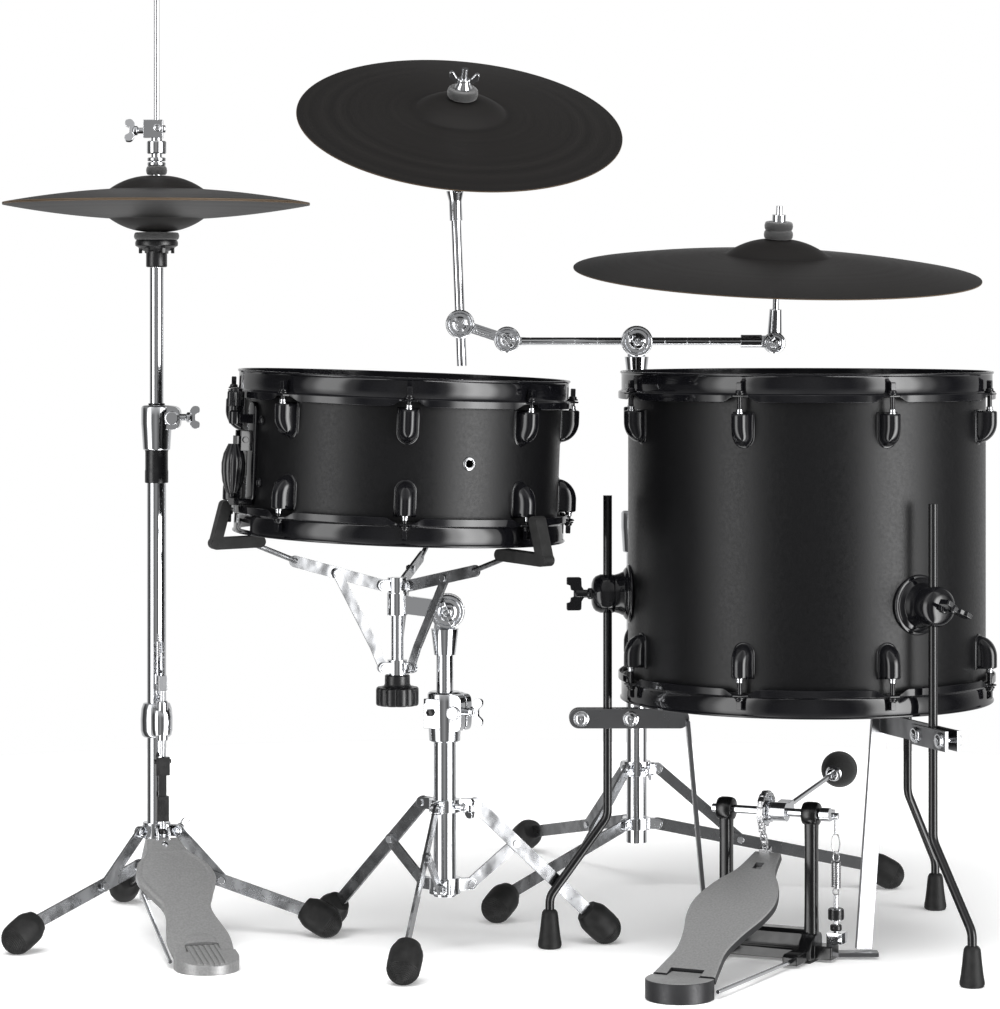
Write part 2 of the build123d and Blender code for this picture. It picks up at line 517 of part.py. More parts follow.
# Cymbal stand -------------------------------------------------------------------------------------
cymbal_tripod = tripod(CYMBAL_POLE, CYMBAL_LEG_ANGLE, CYMBAL_TUBE, (26.0, 79.0), (26.0, 148.0), 130.0,
                       315.0, 28.0)
cymbal_base = Pos(CYMBAL_POLE[0], CYMBAL_POLE[1], 0)
cymbal_tube = pipe(CYMBAL_TUBE, 11.2, 55, 440)
cymbal_clamp = turned((12.72, 418), (17, 418), (19, 440), (19, 470), (9.6, 470), (9.6, 442), (12.72, 442))
cymbal_clamp += block(6, 27, -12, 12, 440, 468)
cymbal_clamp -= along_z(9.6, 400, 480) + along_z(12.72, 410, 442) + block(19, 28, -1, 1, 438, 470)
boom_socket = cymbal_base * turned((0, 646.2), (13, 646.2), (15, 662.4), (0, 662.4))
boom_socket += Pos(CYMBAL_POLE[0], CYMBAL_POLE[1], BOOM_HEIGHT) * along_y(19, 4.5, 13)
boom_socket += cymbal_base * block(-11, 11, 4.5, 13, 655, 684)
save("cymbal_stand_upper", cymbal_base * pipe(CYMBAL_UPPER, 7.8, 240, 646), boom_socket)
boom_at = Pos(CYMBAL_POLE[0], BOOM_Y, BOOM_HEIGHT)
boom_clamp = boom_at * (along_y(19, -13, 9.2) - along_x(BOOM, -60, 60))
boom_start, boom_end = CRASH_JOINT_A[0] + 18, RIDE_TILTER[0] - 41
boom_bar = Pos(0, BOOM_Y, BOOM_HEIGHT) * along_x(BOOM, boom_start, boom_end)
for k in range(9):
    mark = boom_start + 11 + 28 * k
    if abs(mark - CYMBAL_POLE[0]) > 22:
        groove = along_x(BOOM + 1, -0.4, 0.4) - along_x(BOOM - 0.4, -1, 1)
        boom_bar -= Pos(mark, BOOM_Y, BOOM_HEIGHT) * groove
boom_bar += Pos(0, BOOM_Y, BOOM_HEIGHT) * along_x(8.0, boom_end - 1, boom_end + 25)
boom_bar += Pos(RIDE_TILTER[0], BOOM_Y, RIDE_TILTER[2]) * along_y(13, 1.5, 11)
boom_bar += block(boom_end + 24, RIDE_TILTER[0], BOOM_Y + 1.5, BOOM_Y + 10, 674, 689)
boom_bar += Pos(CRASH_JOINT_A[0], BOOM_Y, CRASH_JOINT_A[1]) * along_y(16, 1.2, 12)
boom_bar += block(boom_start - 11, boom_start + 5, BOOM_Y + 1.6, BOOM_Y + 11, 677, 687)
boom_screw = boom_at * Pos(0, -13.2, 0) * Rot(0, 0, -90) * Rot(60, 0, 0) * wing_screw(4.0, 6, 20)
save("boom_arm", boom_clamp, boom_bar, boom_screw)

link_a = Pos(CRASH_JOINT_A[0], BOOM_Y, CRASH_JOINT_A[1])
link_b = Pos(CRASH_JOINT_B[0], BOOM_Y, CRASH_JOINT_B[1])
crash_link = link_a * along_y(16, -10, 0.8) + link_b * along_y(17.5, -10, 0.8)
crash_link += Pos(0, BOOM_Y - 4.6, 0) * strip([CRASH_JOINT_A, CRASH_JOINT_B], 13.0, 10.0)
link_nuts = [spot * Pos(0, -10.2, 0) * along_y(6.5, -7, 0) for spot in (link_a, link_b)]
save("crash_link", crash_link, *link_nuts)
rod_axis = Vector(CRASH_ROD_TOP[0] - CRASH_ROD_LOW[0], 0, CRASH_ROD_TOP[1] - CRASH_ROD_LOW[1]).normalized()
rod_low = Vector(CRASH_ROD_LOW[0], BOOM_Y + 7.5, CRASH_ROD_LOW[1])
rod_frame = aimed(rod_low, rod_axis)
rod_length = math.dist(CRASH_ROD_TOP, CRASH_ROD_LOW)
crash_rod = rod_frame * (along_z(6.2, 0, rod_length - 24) + along_z(8.0, rod_length - 25, rod_length))
crash_rod += rod_frame * turned((0, rod_length - 0.5), (8, rod_length - 0.5), (11, rod_length + 12),
                                (0, rod_length + 12))
crash_rod += link_b * (along_y(17.5, 1.2, 13) - along_y(5, 0, 20)) + link_b * along_y(5.5, 1.2, 13)
knuckle_at = Pos(*CRASH_KNUCKLE)
crash_rod += knuckle_at * (along_x(11, 0.6, 9) + block(0.6, 9, -8, 8, -16, 0))
save("crash_rod", crash_rod)
crash_frame = aimed(CRASH_KNUCKLE, CRASH_NORMAL)
crash_bell = CRASH_STEM + 16 + 18
neck_start = Vector(*CRASH_KNUCKLE) - Vector(4.6, 0, 0)
crash_tilter = knuckle_at * along_x(11, -9, 0)
crash_tilter += rod(neck_start, neck_start + Vector(*CRASH_NORMAL) * 14, 3.6)
crash_stem = turned((0, 12.5), (9, 12.5), (7, 40), (0, 40)) + along_z(4.0, 39, crash_bell + 40)
crash_tilter += crash_frame * (crash_stem + along_z(17, crash_bell - 20, crash_bell - 17))
save("crash_tilter", crash_tilter)
crash_rim = crash_frame * Pos(0, 0, CRASH_STEM)
save("crash_cymbal", crash_rim * cymbal(CRASH_RADIUS, 57.0, 18.0, 16.0, 6.0))
save("crash_felts", crash_frame * pipe(16, 4.3, crash_bell - 16.7, crash_bell - 0.6),
     crash_frame * pipe(19, 4.3, crash_bell + 1.8, crash_bell + 13.5))
crash_nut = turned((4.05, crash_bell + 13.8), (10, crash_bell + 13.8), (9, crash_bell + 27),
                   (4.05, crash_bell + 27))
nut_wings = [Pos(side * 10, 0, crash_bell + 26) * Rot(0, side * 35, 0) * Box(7, 4, 17) for side in (-1, 1)]
crash_nut += nut_wings[0] + nut_wings[1]
crash_nut -= along_z(4.05, 0, 200)
save("crash_wing_nut", crash_frame * crash_nut)

ride_frame = aimed(RIDE_TILTER, RIDE_NORMAL)
ride_bell = RIDE_STEM + 22 + 20
ride_tilter = Pos(*RIDE_TILTER) * along_y(13, -10, 1.1)
ride_tilter += ride_frame * (turned((0, 8), (9, 12), (7.5, 42), (0, 42)) + along_z(3.9, 40, ride_bell + 43)
                             + along_z(15, ride_bell - 19, ride_bell - 16))
ride_tilter -= Pos(*RIDE_TILTER) * along_y(14, 1.1, 20)
ride_screw = Pos(*RIDE_TILTER) * Pos(0, -10.2, 0) * Rot(0, 0, -90) * Rot(35, 0, 0) * wing_screw(4.0, 4, 16)
ride_nut = ride_frame * pipe(8.5, 4.0, ride_bell + 23.3, ride_bell + 32)
save("ride_tilter", ride_tilter, ride_screw, ride_nut)
save("ride_cymbal", ride_frame * Pos(0, 0, RIDE_STEM) * cymbal(RIDE_RADIUS, 64.5, 20.0, 22.0, 6.0))
save("ride_felts", ride_frame * pipe(15, 4.2, ride_bell - 15.7, ride_bell - 0.6),
     ride_frame * pipe(18, 4.2, ride_bell + 1.8, ride_bell + 23))

# Bass pedal ---------------------------------------------------------------------------------------
kick = radial(KICK, KICK_ANGLE)
half_post = POST_SPACING / 2
axle_z = KICK[2]
posts = block(-9, 60, -half_post - 8, half_post + 8, 3, 15) - block(22, 70, -38, 38, 0, 20)
for side in (-1, 1):
    y = side * half_post
    posts += block(-9, 9, y - 7, y + 7, 14, axle_z) + Pos(0, y, axle_z) * along_y(13, -9.5, 9.5)
    posts += block(-14, 26, y - 8, y + 8, 3, 30)
posts += block(-16, 10, -half_post, half_post, 8, 34) + block(-12, 12, half_post, half_post + 28, 3, 18)
for side in (-1, 1):
    posts -= Pos(0, side * half_post, axle_z) * along_y(4.75, -20, 20)
posts -= block(-30, 80, -100, 100, -5, 3)
save("kick_frame", kick * posts)
base_pads = [kick * block(-14, 24, side * half_post - 7, side * half_post + 7, 0, 2.9) for side in (-1, 1)]
axle = Pos(0, 0, axle_z) * along_y(4.7, -half_post - 16, half_post + 22)
hub_y = 13.0
drive = Pos(0, 0, axle_z) * (along_y(SPROCKET - 4.5, -5, -1) + Pos(0, hub_y, 0) * along_y(10.5, -9, 9)
                             + along_y(12, -8, 4))
rise = math.radians(BEATER_RISE)
beater_dir = Vector(-math.cos(rise), 0, math.sin(rise))
beater_frame = Plane(origin=(0, hub_y, axle_z), x_dir=(0, 1, 0), z_dir=beater_dir).location
drive += beater_frame * (Pos(0, 0, 16) * Box(15, 15, 20))
arm_y = half_post + 15
spring_x = -16.0
cam = Pos(0, arm_y, axle_z) * (along_y(7.5, -4, 7) + Pos(-9, 3, -2) * Box(20, 6, 11))
cam += Pos(spring_x, arm_y + 3, axle_z - 3) * along_y(3.2, -3, 8)
beater_shaft = beater_frame * along_z(2.9, 26.1, BEATER_LENGTH - 14)
beater_cap = beater_frame * along_z(7.0, BEATER_LENGTH - 27, BEATER_LENGTH - 20.5)
beater_ball = Pos(0, 0, BEATER_LENGTH) * Sphere(BEATER_RADIUS)
beater_ball -= along_z(7.1, 100, BEATER_LENGTH - 20.4) + along_z(2.95, 100, BEATER_LENGTH - 13.9)
save("kick_beater", kick * beater_frame * beater_ball)
chain_arc = Pos(0, -3, axle_z) * (along_y(SPROCKET + 2, -3, 3) - along_y(SPROCKET - 2.4, -4, 4))
chain_arc -= Pos(0, 0, axle_z) * Rot(0, CHAIN_SLOPE, 0) * block(-40, 40, -10, 5, -40, 0)
spring_hook = Pos(spring_x, arm_y + 8, 0) * along_z(2.2, 139.3, axle_z - 6.9)
save("kick_axle", kick * (axle + drive + cam + chain_arc), kick * (beater_shaft + beater_cap),
     kick * spring_hook)
chain_turn = math.radians(CHAIN_SLOPE)
chain_top = (SPROCKET * math.cos(chain_turn), axle_z - SPROCKET * math.sin(chain_turn))
chain_down = aimed((chain_top[0], -3, chain_top[1]), (-math.sin(chain_turn), 0, -math.cos(chain_turn)))
save("kick_chain", kick * chain_down * block(-2, 2, -3, 3, 1.2, CHAIN_LENGTH))
kick_outline = [(0, 35), (0.10, 31), (0.20, 28.5), (0.33, 34), (0.47, 44), (0.60, 46.5), (0.74, 37),
                (0.85, 23), (1, 16)]
save("kick_footboard", kick * board(KICK_HINGE, KICK_TOE, kick_outline, KICK_BOARD, 12))
kick_heel = heel_plate(KICK_HINGE, 72, 45, 22, 10.8)
save("kick_spring", kick * Pos(spring_x, arm_y + 8, 0) * along_z(5.3, 72, 139))
hook_low = along_z(2.6, 28, 71.5) + along_z(8.5, 44, 56) + along_z(6, 32, 38)
hook_low = Pos(spring_x, arm_y + 8, 0) * hook_low
spring_rod = kick * (hook_low + block(spring_x - 9, spring_x + 9, arm_y, arm_y + 18, 18.1, 30))
kick_radius_rods = [kick * rod((60.3, side * 48, 8), (KICK_HINGE[0] + 1.5, side * 38.4, 8), 2.2)
                    for side in (-1, 1)]

# Bracket that hangs the bass pedal under the tom --------------------------------------------------
left_leg = radial(TOM, TOM_LEG_ANGLES[1]) * Pos(TOM_LEG_CIRCLE, 0, 0)
left_x, left_y = left_leg.position.X, left_leg.position.Y
right_leg = radial(TOM, TOM_LEG_ANGLES[0]) * Pos(TOM_LEG_CIRCLE, 0, 0)
grip_gap = 5.3
low, high = BRACKET_HEIGHT - 11, BRACKET_HEIGHT + 11
left_bar = [(left_x - 32.5, BRACKET_HEIGHT), (left_x + 81, BRACKET_HEIGHT)]
left_front = strip(left_bar, high - low, 4.0, left_y - grip_gap - 2)
left_back = strip([left_bar[0], (left_x + 33, BRACKET_HEIGHT)], high - low, 4.0, left_y + grip_gap + 2)
strap_x = left_x + 90
post_left = kick * Pos(0, -half_post - 8, 0)
left_strap = strip([(strap_x, high - 14), (post_left.position.X - 14, 24)], 4.5, 28.0, left_y - 14 + 4)
strap_end = [(post_left.position.X - 14, 24), (post_left.position.X - 4, 22)]
left_strap += Pos(0, left_y - 10, 0) * strip(strap_end, 4.5, 28.0)
left_arm = left_front + left_strap
along = Rot(0, 0, math.degrees(math.atan2(-0.936, 0.352)))
right_frame = Pos(right_leg.position.X, right_leg.position.Y, 0) * along
right_front = right_frame * block(-139, 45, grip_gap, grip_gap + 4, low, high)
right_back = right_frame * block(-32, 45, -grip_gap - 4, -grip_gap, low, high)
strap_top = right_frame * Pos(-139, 8, 0)
top_x, top_y = strap_top.position.X, strap_top.position.Y
strap_plane = Plane(origin=(top_x - 2, top_y - 1, high - 2), x_dir=(0.936, 0.352, -0.09),
                    z_dir=(-0.075, -0.06, -1))
right_strap = strap_plane.location * extrude(Rectangle(19, 4.5), high - 10)
right_lip = block(top_x - 52, top_x - 6, top_y - 34, top_y - 14, 3.2, 7.6)
right_arm = right_front + right_strap + right_lip
save("kick_bracket", left_arm, right_arm, left_back, right_back)
bolt = (along_y(7.5, -grip_gap - 7.5, -grip_gap - 4.1) + along_y(3, -grip_gap + 0.1, grip_gap - 0.1)
        + along_y(7.5, grip_gap + 4.1, grip_gap + 7.5))
bolts = [Pos(left_x + shift, left_y, BRACKET_HEIGHT) * bolt for shift in (-30.0, 26.0)]
bolts += [right_frame * Pos(shift, 0, BRACKET_HEIGHT) * bolt for shift in (-22.0, 34.0)]

# Pieces shared by the stands ----------------------------------------------------------------------
tripods = (hihat, snare_tripod, cymbal_tripod)
save("stand_lower_tubes", hihat_pedal * hihat_tube, snare_base * snare_tube, cymbal_base * cymbal_tube)
save("height_clamps", radial(HIHAT, 90) * hihat_clamp, hihat_pedal * hihat_casting,
     radial(SNARE_POLE, 60) * snare_clamp, radial(CYMBAL_POLE, 90) * cymbal_clamp,
     hihat_base * hihat_bushing)
save("tripod_hubs", *[piece for unit in tripods for piece in unit["hubs"]])
save("tripod_legs", *[piece for unit in tripods for piece in unit["legs"]])
save("tripod_braces", *[piece for unit in tripods for piece in unit["braces"]])
save("rubber_feet", *[piece for unit in tripods for piece in unit["feet"]], *tom_feet, *base_pads)
save("rivets_and_bolts", *[piece for unit in tripods for piece in unit["rivets"]],
     *[piece for bolt in bolts for piece in bolt.solids()])
save("pedal_heel_plates", hihat_pedal * hihat_heel, kick * kick_heel)
save("pedal_rods", hihat_pedal * hihat_stirrup, *kick_radius_rods, spring_rod)
collar_screw = wing_screw(3.5, 14, 16)
save("stand_wing_screws",
     radial(HIHAT, 90, 596) * Pos(26.2, 0, 0) * wing_screw(4.0, 12, 20),
     radial(SNARE_POLE, 60, 272) * Pos(27.2, 0, 0) * wing_screw(4.0, 10, 24),
     radial(CYMBAL_POLE, 90, 455) * Pos(27.2, 0, 0) * wing_screw(4.0, 10, 24),
     radial(HIHAT, 120, 117) * Pos(HIHAT_TUBE + 5.3, 0, 0) * collar_screw,
     radial(SNARE_POLE, 47, 165.5) * Pos(SNARE_TUBE + 5.3, 0, 0) * collar_screw,
     radial(CYMBAL_POLE, 26, 148) * Pos(CYMBAL_TUBE + 5.3, 0, 0) * collar_screw)
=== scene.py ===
"""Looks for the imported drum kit: camera, studio, materials and the detailed pieces."""
import json
import math

import bmesh
import bpy
from mathutils import Matrix, Vector


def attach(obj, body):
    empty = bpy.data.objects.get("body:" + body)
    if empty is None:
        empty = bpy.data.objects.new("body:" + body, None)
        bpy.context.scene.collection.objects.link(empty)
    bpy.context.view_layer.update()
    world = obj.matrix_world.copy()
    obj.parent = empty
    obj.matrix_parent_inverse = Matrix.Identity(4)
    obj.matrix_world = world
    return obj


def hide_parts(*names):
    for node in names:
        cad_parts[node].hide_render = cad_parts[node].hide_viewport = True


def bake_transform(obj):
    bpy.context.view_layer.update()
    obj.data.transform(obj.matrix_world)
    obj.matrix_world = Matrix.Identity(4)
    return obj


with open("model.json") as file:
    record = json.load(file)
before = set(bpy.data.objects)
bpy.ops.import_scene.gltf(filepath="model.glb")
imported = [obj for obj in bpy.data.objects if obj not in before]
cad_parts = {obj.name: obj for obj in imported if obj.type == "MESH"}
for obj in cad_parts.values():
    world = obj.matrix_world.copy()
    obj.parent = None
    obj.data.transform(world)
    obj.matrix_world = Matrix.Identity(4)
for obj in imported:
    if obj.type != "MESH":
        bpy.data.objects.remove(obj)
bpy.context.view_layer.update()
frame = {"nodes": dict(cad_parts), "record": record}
nodes = frame["nodes"]
MM = 0.001

# Places in the row frame, in millimetres, as in the CAD.
HIHAT = (-410.2, -87.4)
SNARE_POLE = (-73.2, -229.4)
BASKET = (-126.2, -232.4)
CYMBAL_POLE = (159.8, 225.6)
TOM = (336.3, -180.4)
SNARE_CENTRE = (-121.6, -232.4, 558.0)
SNARE_ROLL = 2.15
CRASH_KNUCKLE = (-68.4, 220.6, 884.0)
CRASH_NORMAL = (0.094, -0.440, 0.893)
RIDE_TILTER = (331.8, 220.6, 680.0)
RIDE_NORMAL = (0.027, -0.132, 0.991)


# Materials ---------------------------------------------------------------------------------------
class Shader:
    """A Principled material that is put together from a few named layers."""

    def __init__(self, name, colour, metallic, roughness):
        self.material = bpy.data.materials.new(name)
        self.material.use_nodes = True
        self.tree = self.material.node_tree
        self.body = self.tree.nodes["Principled BSDF"]
        self.body.inputs["Base Color"].default_value = (*colour, 1)
        self.body.inputs["Metallic"].default_value = metallic
        self.body.inputs["Roughness"].default_value = roughness
        self.place = self.node("ShaderNodeTexCoord").outputs["Object"]
        self.normal = None

    def node(self, kind, **values):
        made = self.tree.nodes.new(kind)
        for key, value in values.items():
            if hasattr(made, key):
                setattr(made, key, value)
            else:
                made.inputs[key.replace("_", " ").title()].default_value = value
        return made

    def link(self, source, target):
        self.tree.links.new(source, target)

    def set(self, **values):
        for key, value in values.items():
            self.body.inputs[key.replace("_", " ").title().replace("Ior", "IOR")].default_value = value
        return self

    def noise(self, scale, detail=3.0, stretch=(1, 1, 1)):
        mapping = self.node("ShaderNodeMapping")
        mapping.inputs["Scale"].default_value = stretch
        self.link(self.place, mapping.inputs["Vector"])
        made = self.node("ShaderNodeTexNoise", scale=scale, detail=detail)
        self.link(mapping.outputs["Vector"], made.inputs["Vector"])
        return made.outputs["Fac"]

    def ranged(self, source, low, high, start=0.3, end=0.7):
        made = self.node("ShaderNodeMapRange")
        for key, value in (("From Min", start), ("From Max", end), ("To Min", low), ("To Max", high)):
            made.inputs[key].default_value = value
        self.link(source, made.inputs["Value"])
        return made.outputs["Result"]

    def vary_roughness(self, scale, low, high, **more):
        self.link(self.ranged(self.noise(scale, **more), low, high), self.body.inputs["Roughness"])
        return self

    def vary_colour(self, scale, dark, light, **more):
        ramp = self.node("ShaderNodeValToRGB")
        ramp.color_ramp.elements[0].position = 0.3
        ramp.color_ramp.elements[1].position = 0.7
        ramp.color_ramp.elements[0].color = (*dark, 1)
        ramp.color_ramp.elements[1].color = (*light, 1)
        self.link(self.noise(scale, **more), ramp.inputs["Fac"])
        self.link(ramp.outputs["Color"], self.body.inputs["Base Color"])
        return self

    def rounded(self, radius=0.0006):
        made = self.node("ShaderNodeBevel", samples=4)
        made.inputs["Radius"].default_value = radius
        self.normal = made.outputs["Normal"]
        self.link(self.normal, self.body.inputs["Normal"])
        return self

    def bump(self, source, distance, strength=1.0):
        made = self.node("ShaderNodeBump")
        made.inputs["Strength"].default_value = strength
        made.inputs["Distance"].default_value = distance
        self.link(source, made.inputs["Height"])
        if self.normal is not None:
            self.link(self.normal, made.inputs["Normal"])
        self.normal = made.outputs["Normal"]
        self.link(self.normal, self.body.inputs["Normal"])
        return self

    def grain(self, scale, distance, strength=1.0, **more):
        return self.bump(self.noise(scale, **more), distance, strength)


def cymbal_shader(radius):
    """Black coated cymbal: fine lathed rings, broad tonal bands and a bronze rim."""
    look = Shader("cymbal_black", (0.02, 0.019, 0.018), 0.1, 0.42)
    split = look.node("ShaderNodeSeparateXYZ")
    look.link(look.place, split.inputs["Vector"])
    flat = look.node("ShaderNodeCombineXYZ")
    look.link(split.outputs["X"], flat.inputs["X"])
    look.link(split.outputs["Y"], flat.inputs["Y"])
    length = look.node("ShaderNodeVectorMath", operation="LENGTH")
    look.link(flat.outputs["Vector"], length.inputs[0])
    distance = length.outputs["Value"]
    waves = []
    for pitch, phase in ((0.0021, 0.0), (0.0013, 1.7)):
        turn = look.node("ShaderNodeMath", operation="MULTIPLY_ADD")
        look.link(distance, turn.inputs[0])
        turn.inputs[1].default_value = 2 * math.pi / pitch
        turn.inputs[2].default_value = phase
        wave = look.node("ShaderNodeMath", operation="SINE")
        look.link(turn.outputs["Value"], wave.inputs[0])
        waves.append(wave.outputs["Value"])
    both = look.node("ShaderNodeMath", operation="ADD")
    look.link(waves[0], both.inputs[0])
    look.link(waves[1], both.inputs[1])
    look.bump(both.outputs["Value"], 0.00003, 0.4)
    bands = look.node("ShaderNodeTexNoise", scale=90.0, detail=4.0)
    bands.noise_dimensions = "1D"
    look.link(distance, bands.inputs["W"])
    ramp = look.node("ShaderNodeValToRGB")
    ramp.color_ramp.elements[0].position = 0.30
    ramp.color_ramp.elements[0].color = (0.0105, 0.0098, 0.0095, 1)
    ramp.color_ramp.elements[1].position = 0.72
    ramp.color_ramp.elements[1].color = (0.0135, 0.0125, 0.012, 1)
    look.link(bands.outputs["Fac"], ramp.inputs["Fac"])
    rim = look.node("ShaderNodeMapRange")
    for key, value in (("From Min", radius - 0.0006), ("From Max", radius + 0.0001)):
        rim.inputs[key].default_value = value
    look.link(distance, rim.inputs["Value"])
    mix = look.node("ShaderNodeMix", data_type="RGBA")
    look.link(rim.outputs["Result"], mix.inputs["Factor"])
    look.link(ramp.outputs["Color"], mix.inputs["A"])
    mix.inputs["B"].default_value = (0.10, 0.07, 0.045, 1)
    look.link(mix.outputs["Result"], look.body.inputs["Base Color"])
    look.link(look.ranged(bands.outputs["Fac"], 0.44, 0.47), look.body.inputs["Roughness"])
    look.set(anisotropic=0.5, specular_ior_level=0.22)
    tangent = look.node("ShaderNodeTangent", direction_type="RADIAL", axis="Z")
    look.link(tangent.outputs["Tangent"], look.body.inputs["Tangent"])
    return look.material


LOOKS = {
    "chrome": Shader("chrome", (0.72, 0.73, 0.75), 1.0, 0.06).vary_roughness(40, 0.04, 0.12).rounded(),
    "black_chrome": Shader("black_chrome", (0.004, 0.004, 0.005), 0.0, 0.08).vary_roughness(60, 0.05, 0.12)
    .rounded(),
    "shell": Shader("shell_black", (0.003, 0.003, 0.0035), 0.0, 0.36)
    .vary_colour(1500, (0.0015,) * 3, (0.006, 0.006, 0.007))
    .vary_roughness(300, 0.31, 0.41).set(specular_ior_level=0.27).grain(1100, 0.0001, 0.5),
    "rubber": Shader("rubber", (0.010, 0.010, 0.011), 0.0, 0.58).vary_colour(120, (0.007,) * 3, (0.015,) * 3)
    .set(specular_ior_level=0.35).rounded(0.001).grain(900, 0.00005, 0.3),
    "felt": Shader("felt", (0.03, 0.03, 0.031), 0.0, 0.97).vary_colour(900, (0.012,) * 3, (0.05,) * 3)
    .set(sheen_weight=0.4, sheen_roughness=0.6, specular_ior_level=0.2).grain(1600, 0.0006, 0.8),
    "footboard": Shader("footboard", (0.30, 0.30, 0.31), 0.35, 0.42).vary_colour(420, (0.24,) * 3, (0.31,) * 3)
    .vary_roughness(500, 0.32, 0.46).rounded(0.001).grain(1400, 0.0001, 0.3),
    "black_metal": Shader("black_metal", (0.005, 0.005, 0.0055), 0.0, 0.18).vary_roughness(120, 0.15, 0.24)
    .rounded(0.0008),
    "spring_steel": Shader("spring_steel", (0.55, 0.55, 0.56), 1.0, 0.25).vary_roughness(300, 0.18, 0.36)
    .rounded(),
    "head_film": Shader("head_film", (0.012, 0.012, 0.013), 0.0, 0.5).vary_roughness(60, 0.44, 0.56)
    .set(specular_ior_level=0.3).grain(2200, 0.00004, 0.5),
    "black_plastic": Shader("black_plastic", (0.008, 0.008, 0.009), 0.0, 0.3).vary_roughness(250, 0.25, 0.38)
    .rounded(0.0008),
}
# Plated bars cut from rolled strip: duller than the tubes, with long soft waves in the surface.
STRIP_LOOK = Shader("chrome_strip", (0.34, 0.345, 0.355), 1.0, 0.25).vary_roughness(40, 0.20, 0.32)
STRIP_LOOK.rounded().grain(34, 0.003, 0.7, detail=1.5)
BRACKET_LOOK = Shader("chrome_bracket", (0.25, 0.252, 0.26), 1.0, 0.3).vary_roughness(40, 0.26, 0.38)
BRACKET_LOOK.rounded().grain(30, 0.003, 0.8, detail=1.5)
STRIP_LOOKS = dict.fromkeys(("tripod_legs", "tripod_braces", "basket_arms", "basket_struts"), STRIP_LOOK)
STRIP_LOOKS["kick_bracket"] = BRACKET_LOOK
for entry in frame["record"]["subparts"]:
    cad = nodes[entry["node"]]
    cad.data.materials.clear()
    look = STRIP_LOOKS.get(entry["node"]) or LOOKS.get(entry["material_slot"], LOOKS["black_chrome"])
    cad.data.materials.append(look.material)


# Mesh helpers ------------------------------------------------------------------------------------
def at(x=0.0, y=0.0, z=0.0):
    return Matrix.Translation((x, y, z))


def turn(angle, axis="Z"):
    return Matrix.Rotation(math.radians(angle), 4, axis)


def radial(centre, angle, height=0.0):
    """Frame on an upright axis: local X points outward at the angle, local Z up."""
    return at(centre[0], centre[1], height) @ turn(angle - 90)


def aimed(origin, direction):
    """Frame at the origin whose local Z runs along the direction, its local X near the world's."""
    z = Vector(direction).normalized()
    x = (Vector((1, 0, 0)) - z * z.x).normalized()
    return at(*origin) @ Matrix((x, z.cross(x), z)).transposed().to_4x4()


def piece(name, mesh_data, place, body, slot, look=None, replaces=(), smooth=35):
    """Object from (vertices, faces) in millimetres, placed in the row frame and riding on a body."""
    vertices, faces = mesh_data
    mesh = bpy.data.meshes.new(name)
    mesh.from_pydata([[c * MM for c in v] for v in vertices], [], faces)
    mesh.validate()
    fix = bmesh.new()
    fix.from_mesh(mesh)
    bmesh.ops.recalc_face_normals(fix, faces=fix.faces)
    fix.to_mesh(mesh)
    fix.free()
    mesh.polygons.foreach_set("use_smooth", [True] * len(mesh.polygons))
    mesh.set_sharp_from_angle(angle=math.radians(smooth))
    made = bpy.data.objects.new(name, mesh)
    bpy.context.scene.collection.objects.link(made)
    scaled = place.copy()
    scaled.translation = scaled.translation * MM
    made.matrix_world = scaled
    mesh.materials.append(look or LOOKS[slot].material)
    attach(made, body)
    if replaces:
        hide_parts(*replaces)
    return made


def lathe(profile, steps=96):
    """Closed profile of (radius, height) points turned about Z; points on the axis share one vertex."""
    vertices, rings = [], []
    for radius, height in profile:
        if radius < 1e-6:
            rings.append([len(vertices)] * steps)
            vertices.append((0, 0, height))
            continue
        ring = []
        for k in range(steps):
            a = 2 * math.pi * k / steps
            ring.append(len(vertices))
            vertices.append((radius * math.cos(a), radius * math.sin(a), height))
        rings.append(ring)
    faces = []
    closed = list(zip(rings, rings[1:] + rings[:1]))
    for lower, upper in closed:
        if lower[0] == lower[1] and upper[0] == upper[1]:
            continue
        for k in range(steps):
            n = (k + 1) % steps
            face = [lower[k], lower[n], upper[n], upper[k]]
            seen = []
            for v in face:
                if v not in seen:
                    seen.append(v)
            if len(seen) > 2:
                faces.append(seen)
    return vertices, faces


def arc_through(start, middle, end, count):
    """Points along the circle through three points, both ends included."""
    (ax, ay), (bx, by), (cx, cy) = start, middle, end
    d = 2 * (ax * (by - cy) + bx * (cy - ay) + cx * (ay - by))
    ux = ((ax**2 + ay**2) * (by - cy) + (bx**2 + by**2) * (cy - ay) + (cx**2 + cy**2) * (ay - by)) / d
    uy = ((ax**2 + ay**2) * (cx - bx) + (bx**2 + by**2) * (ax - cx) + (cx**2 + cy**2) * (bx - ax)) / d
    radius = math.hypot(ax - ux, ay - uy)
    first, last = math.atan2(ay - uy, ax - ux), math.atan2(cy - uy, cx - ux)
    return [(ux + radius * math.cos(first + (last - first) * k / count),
             uy + radius * math.sin(first + (last - first) * k / count)) for k in range(count + 1)]


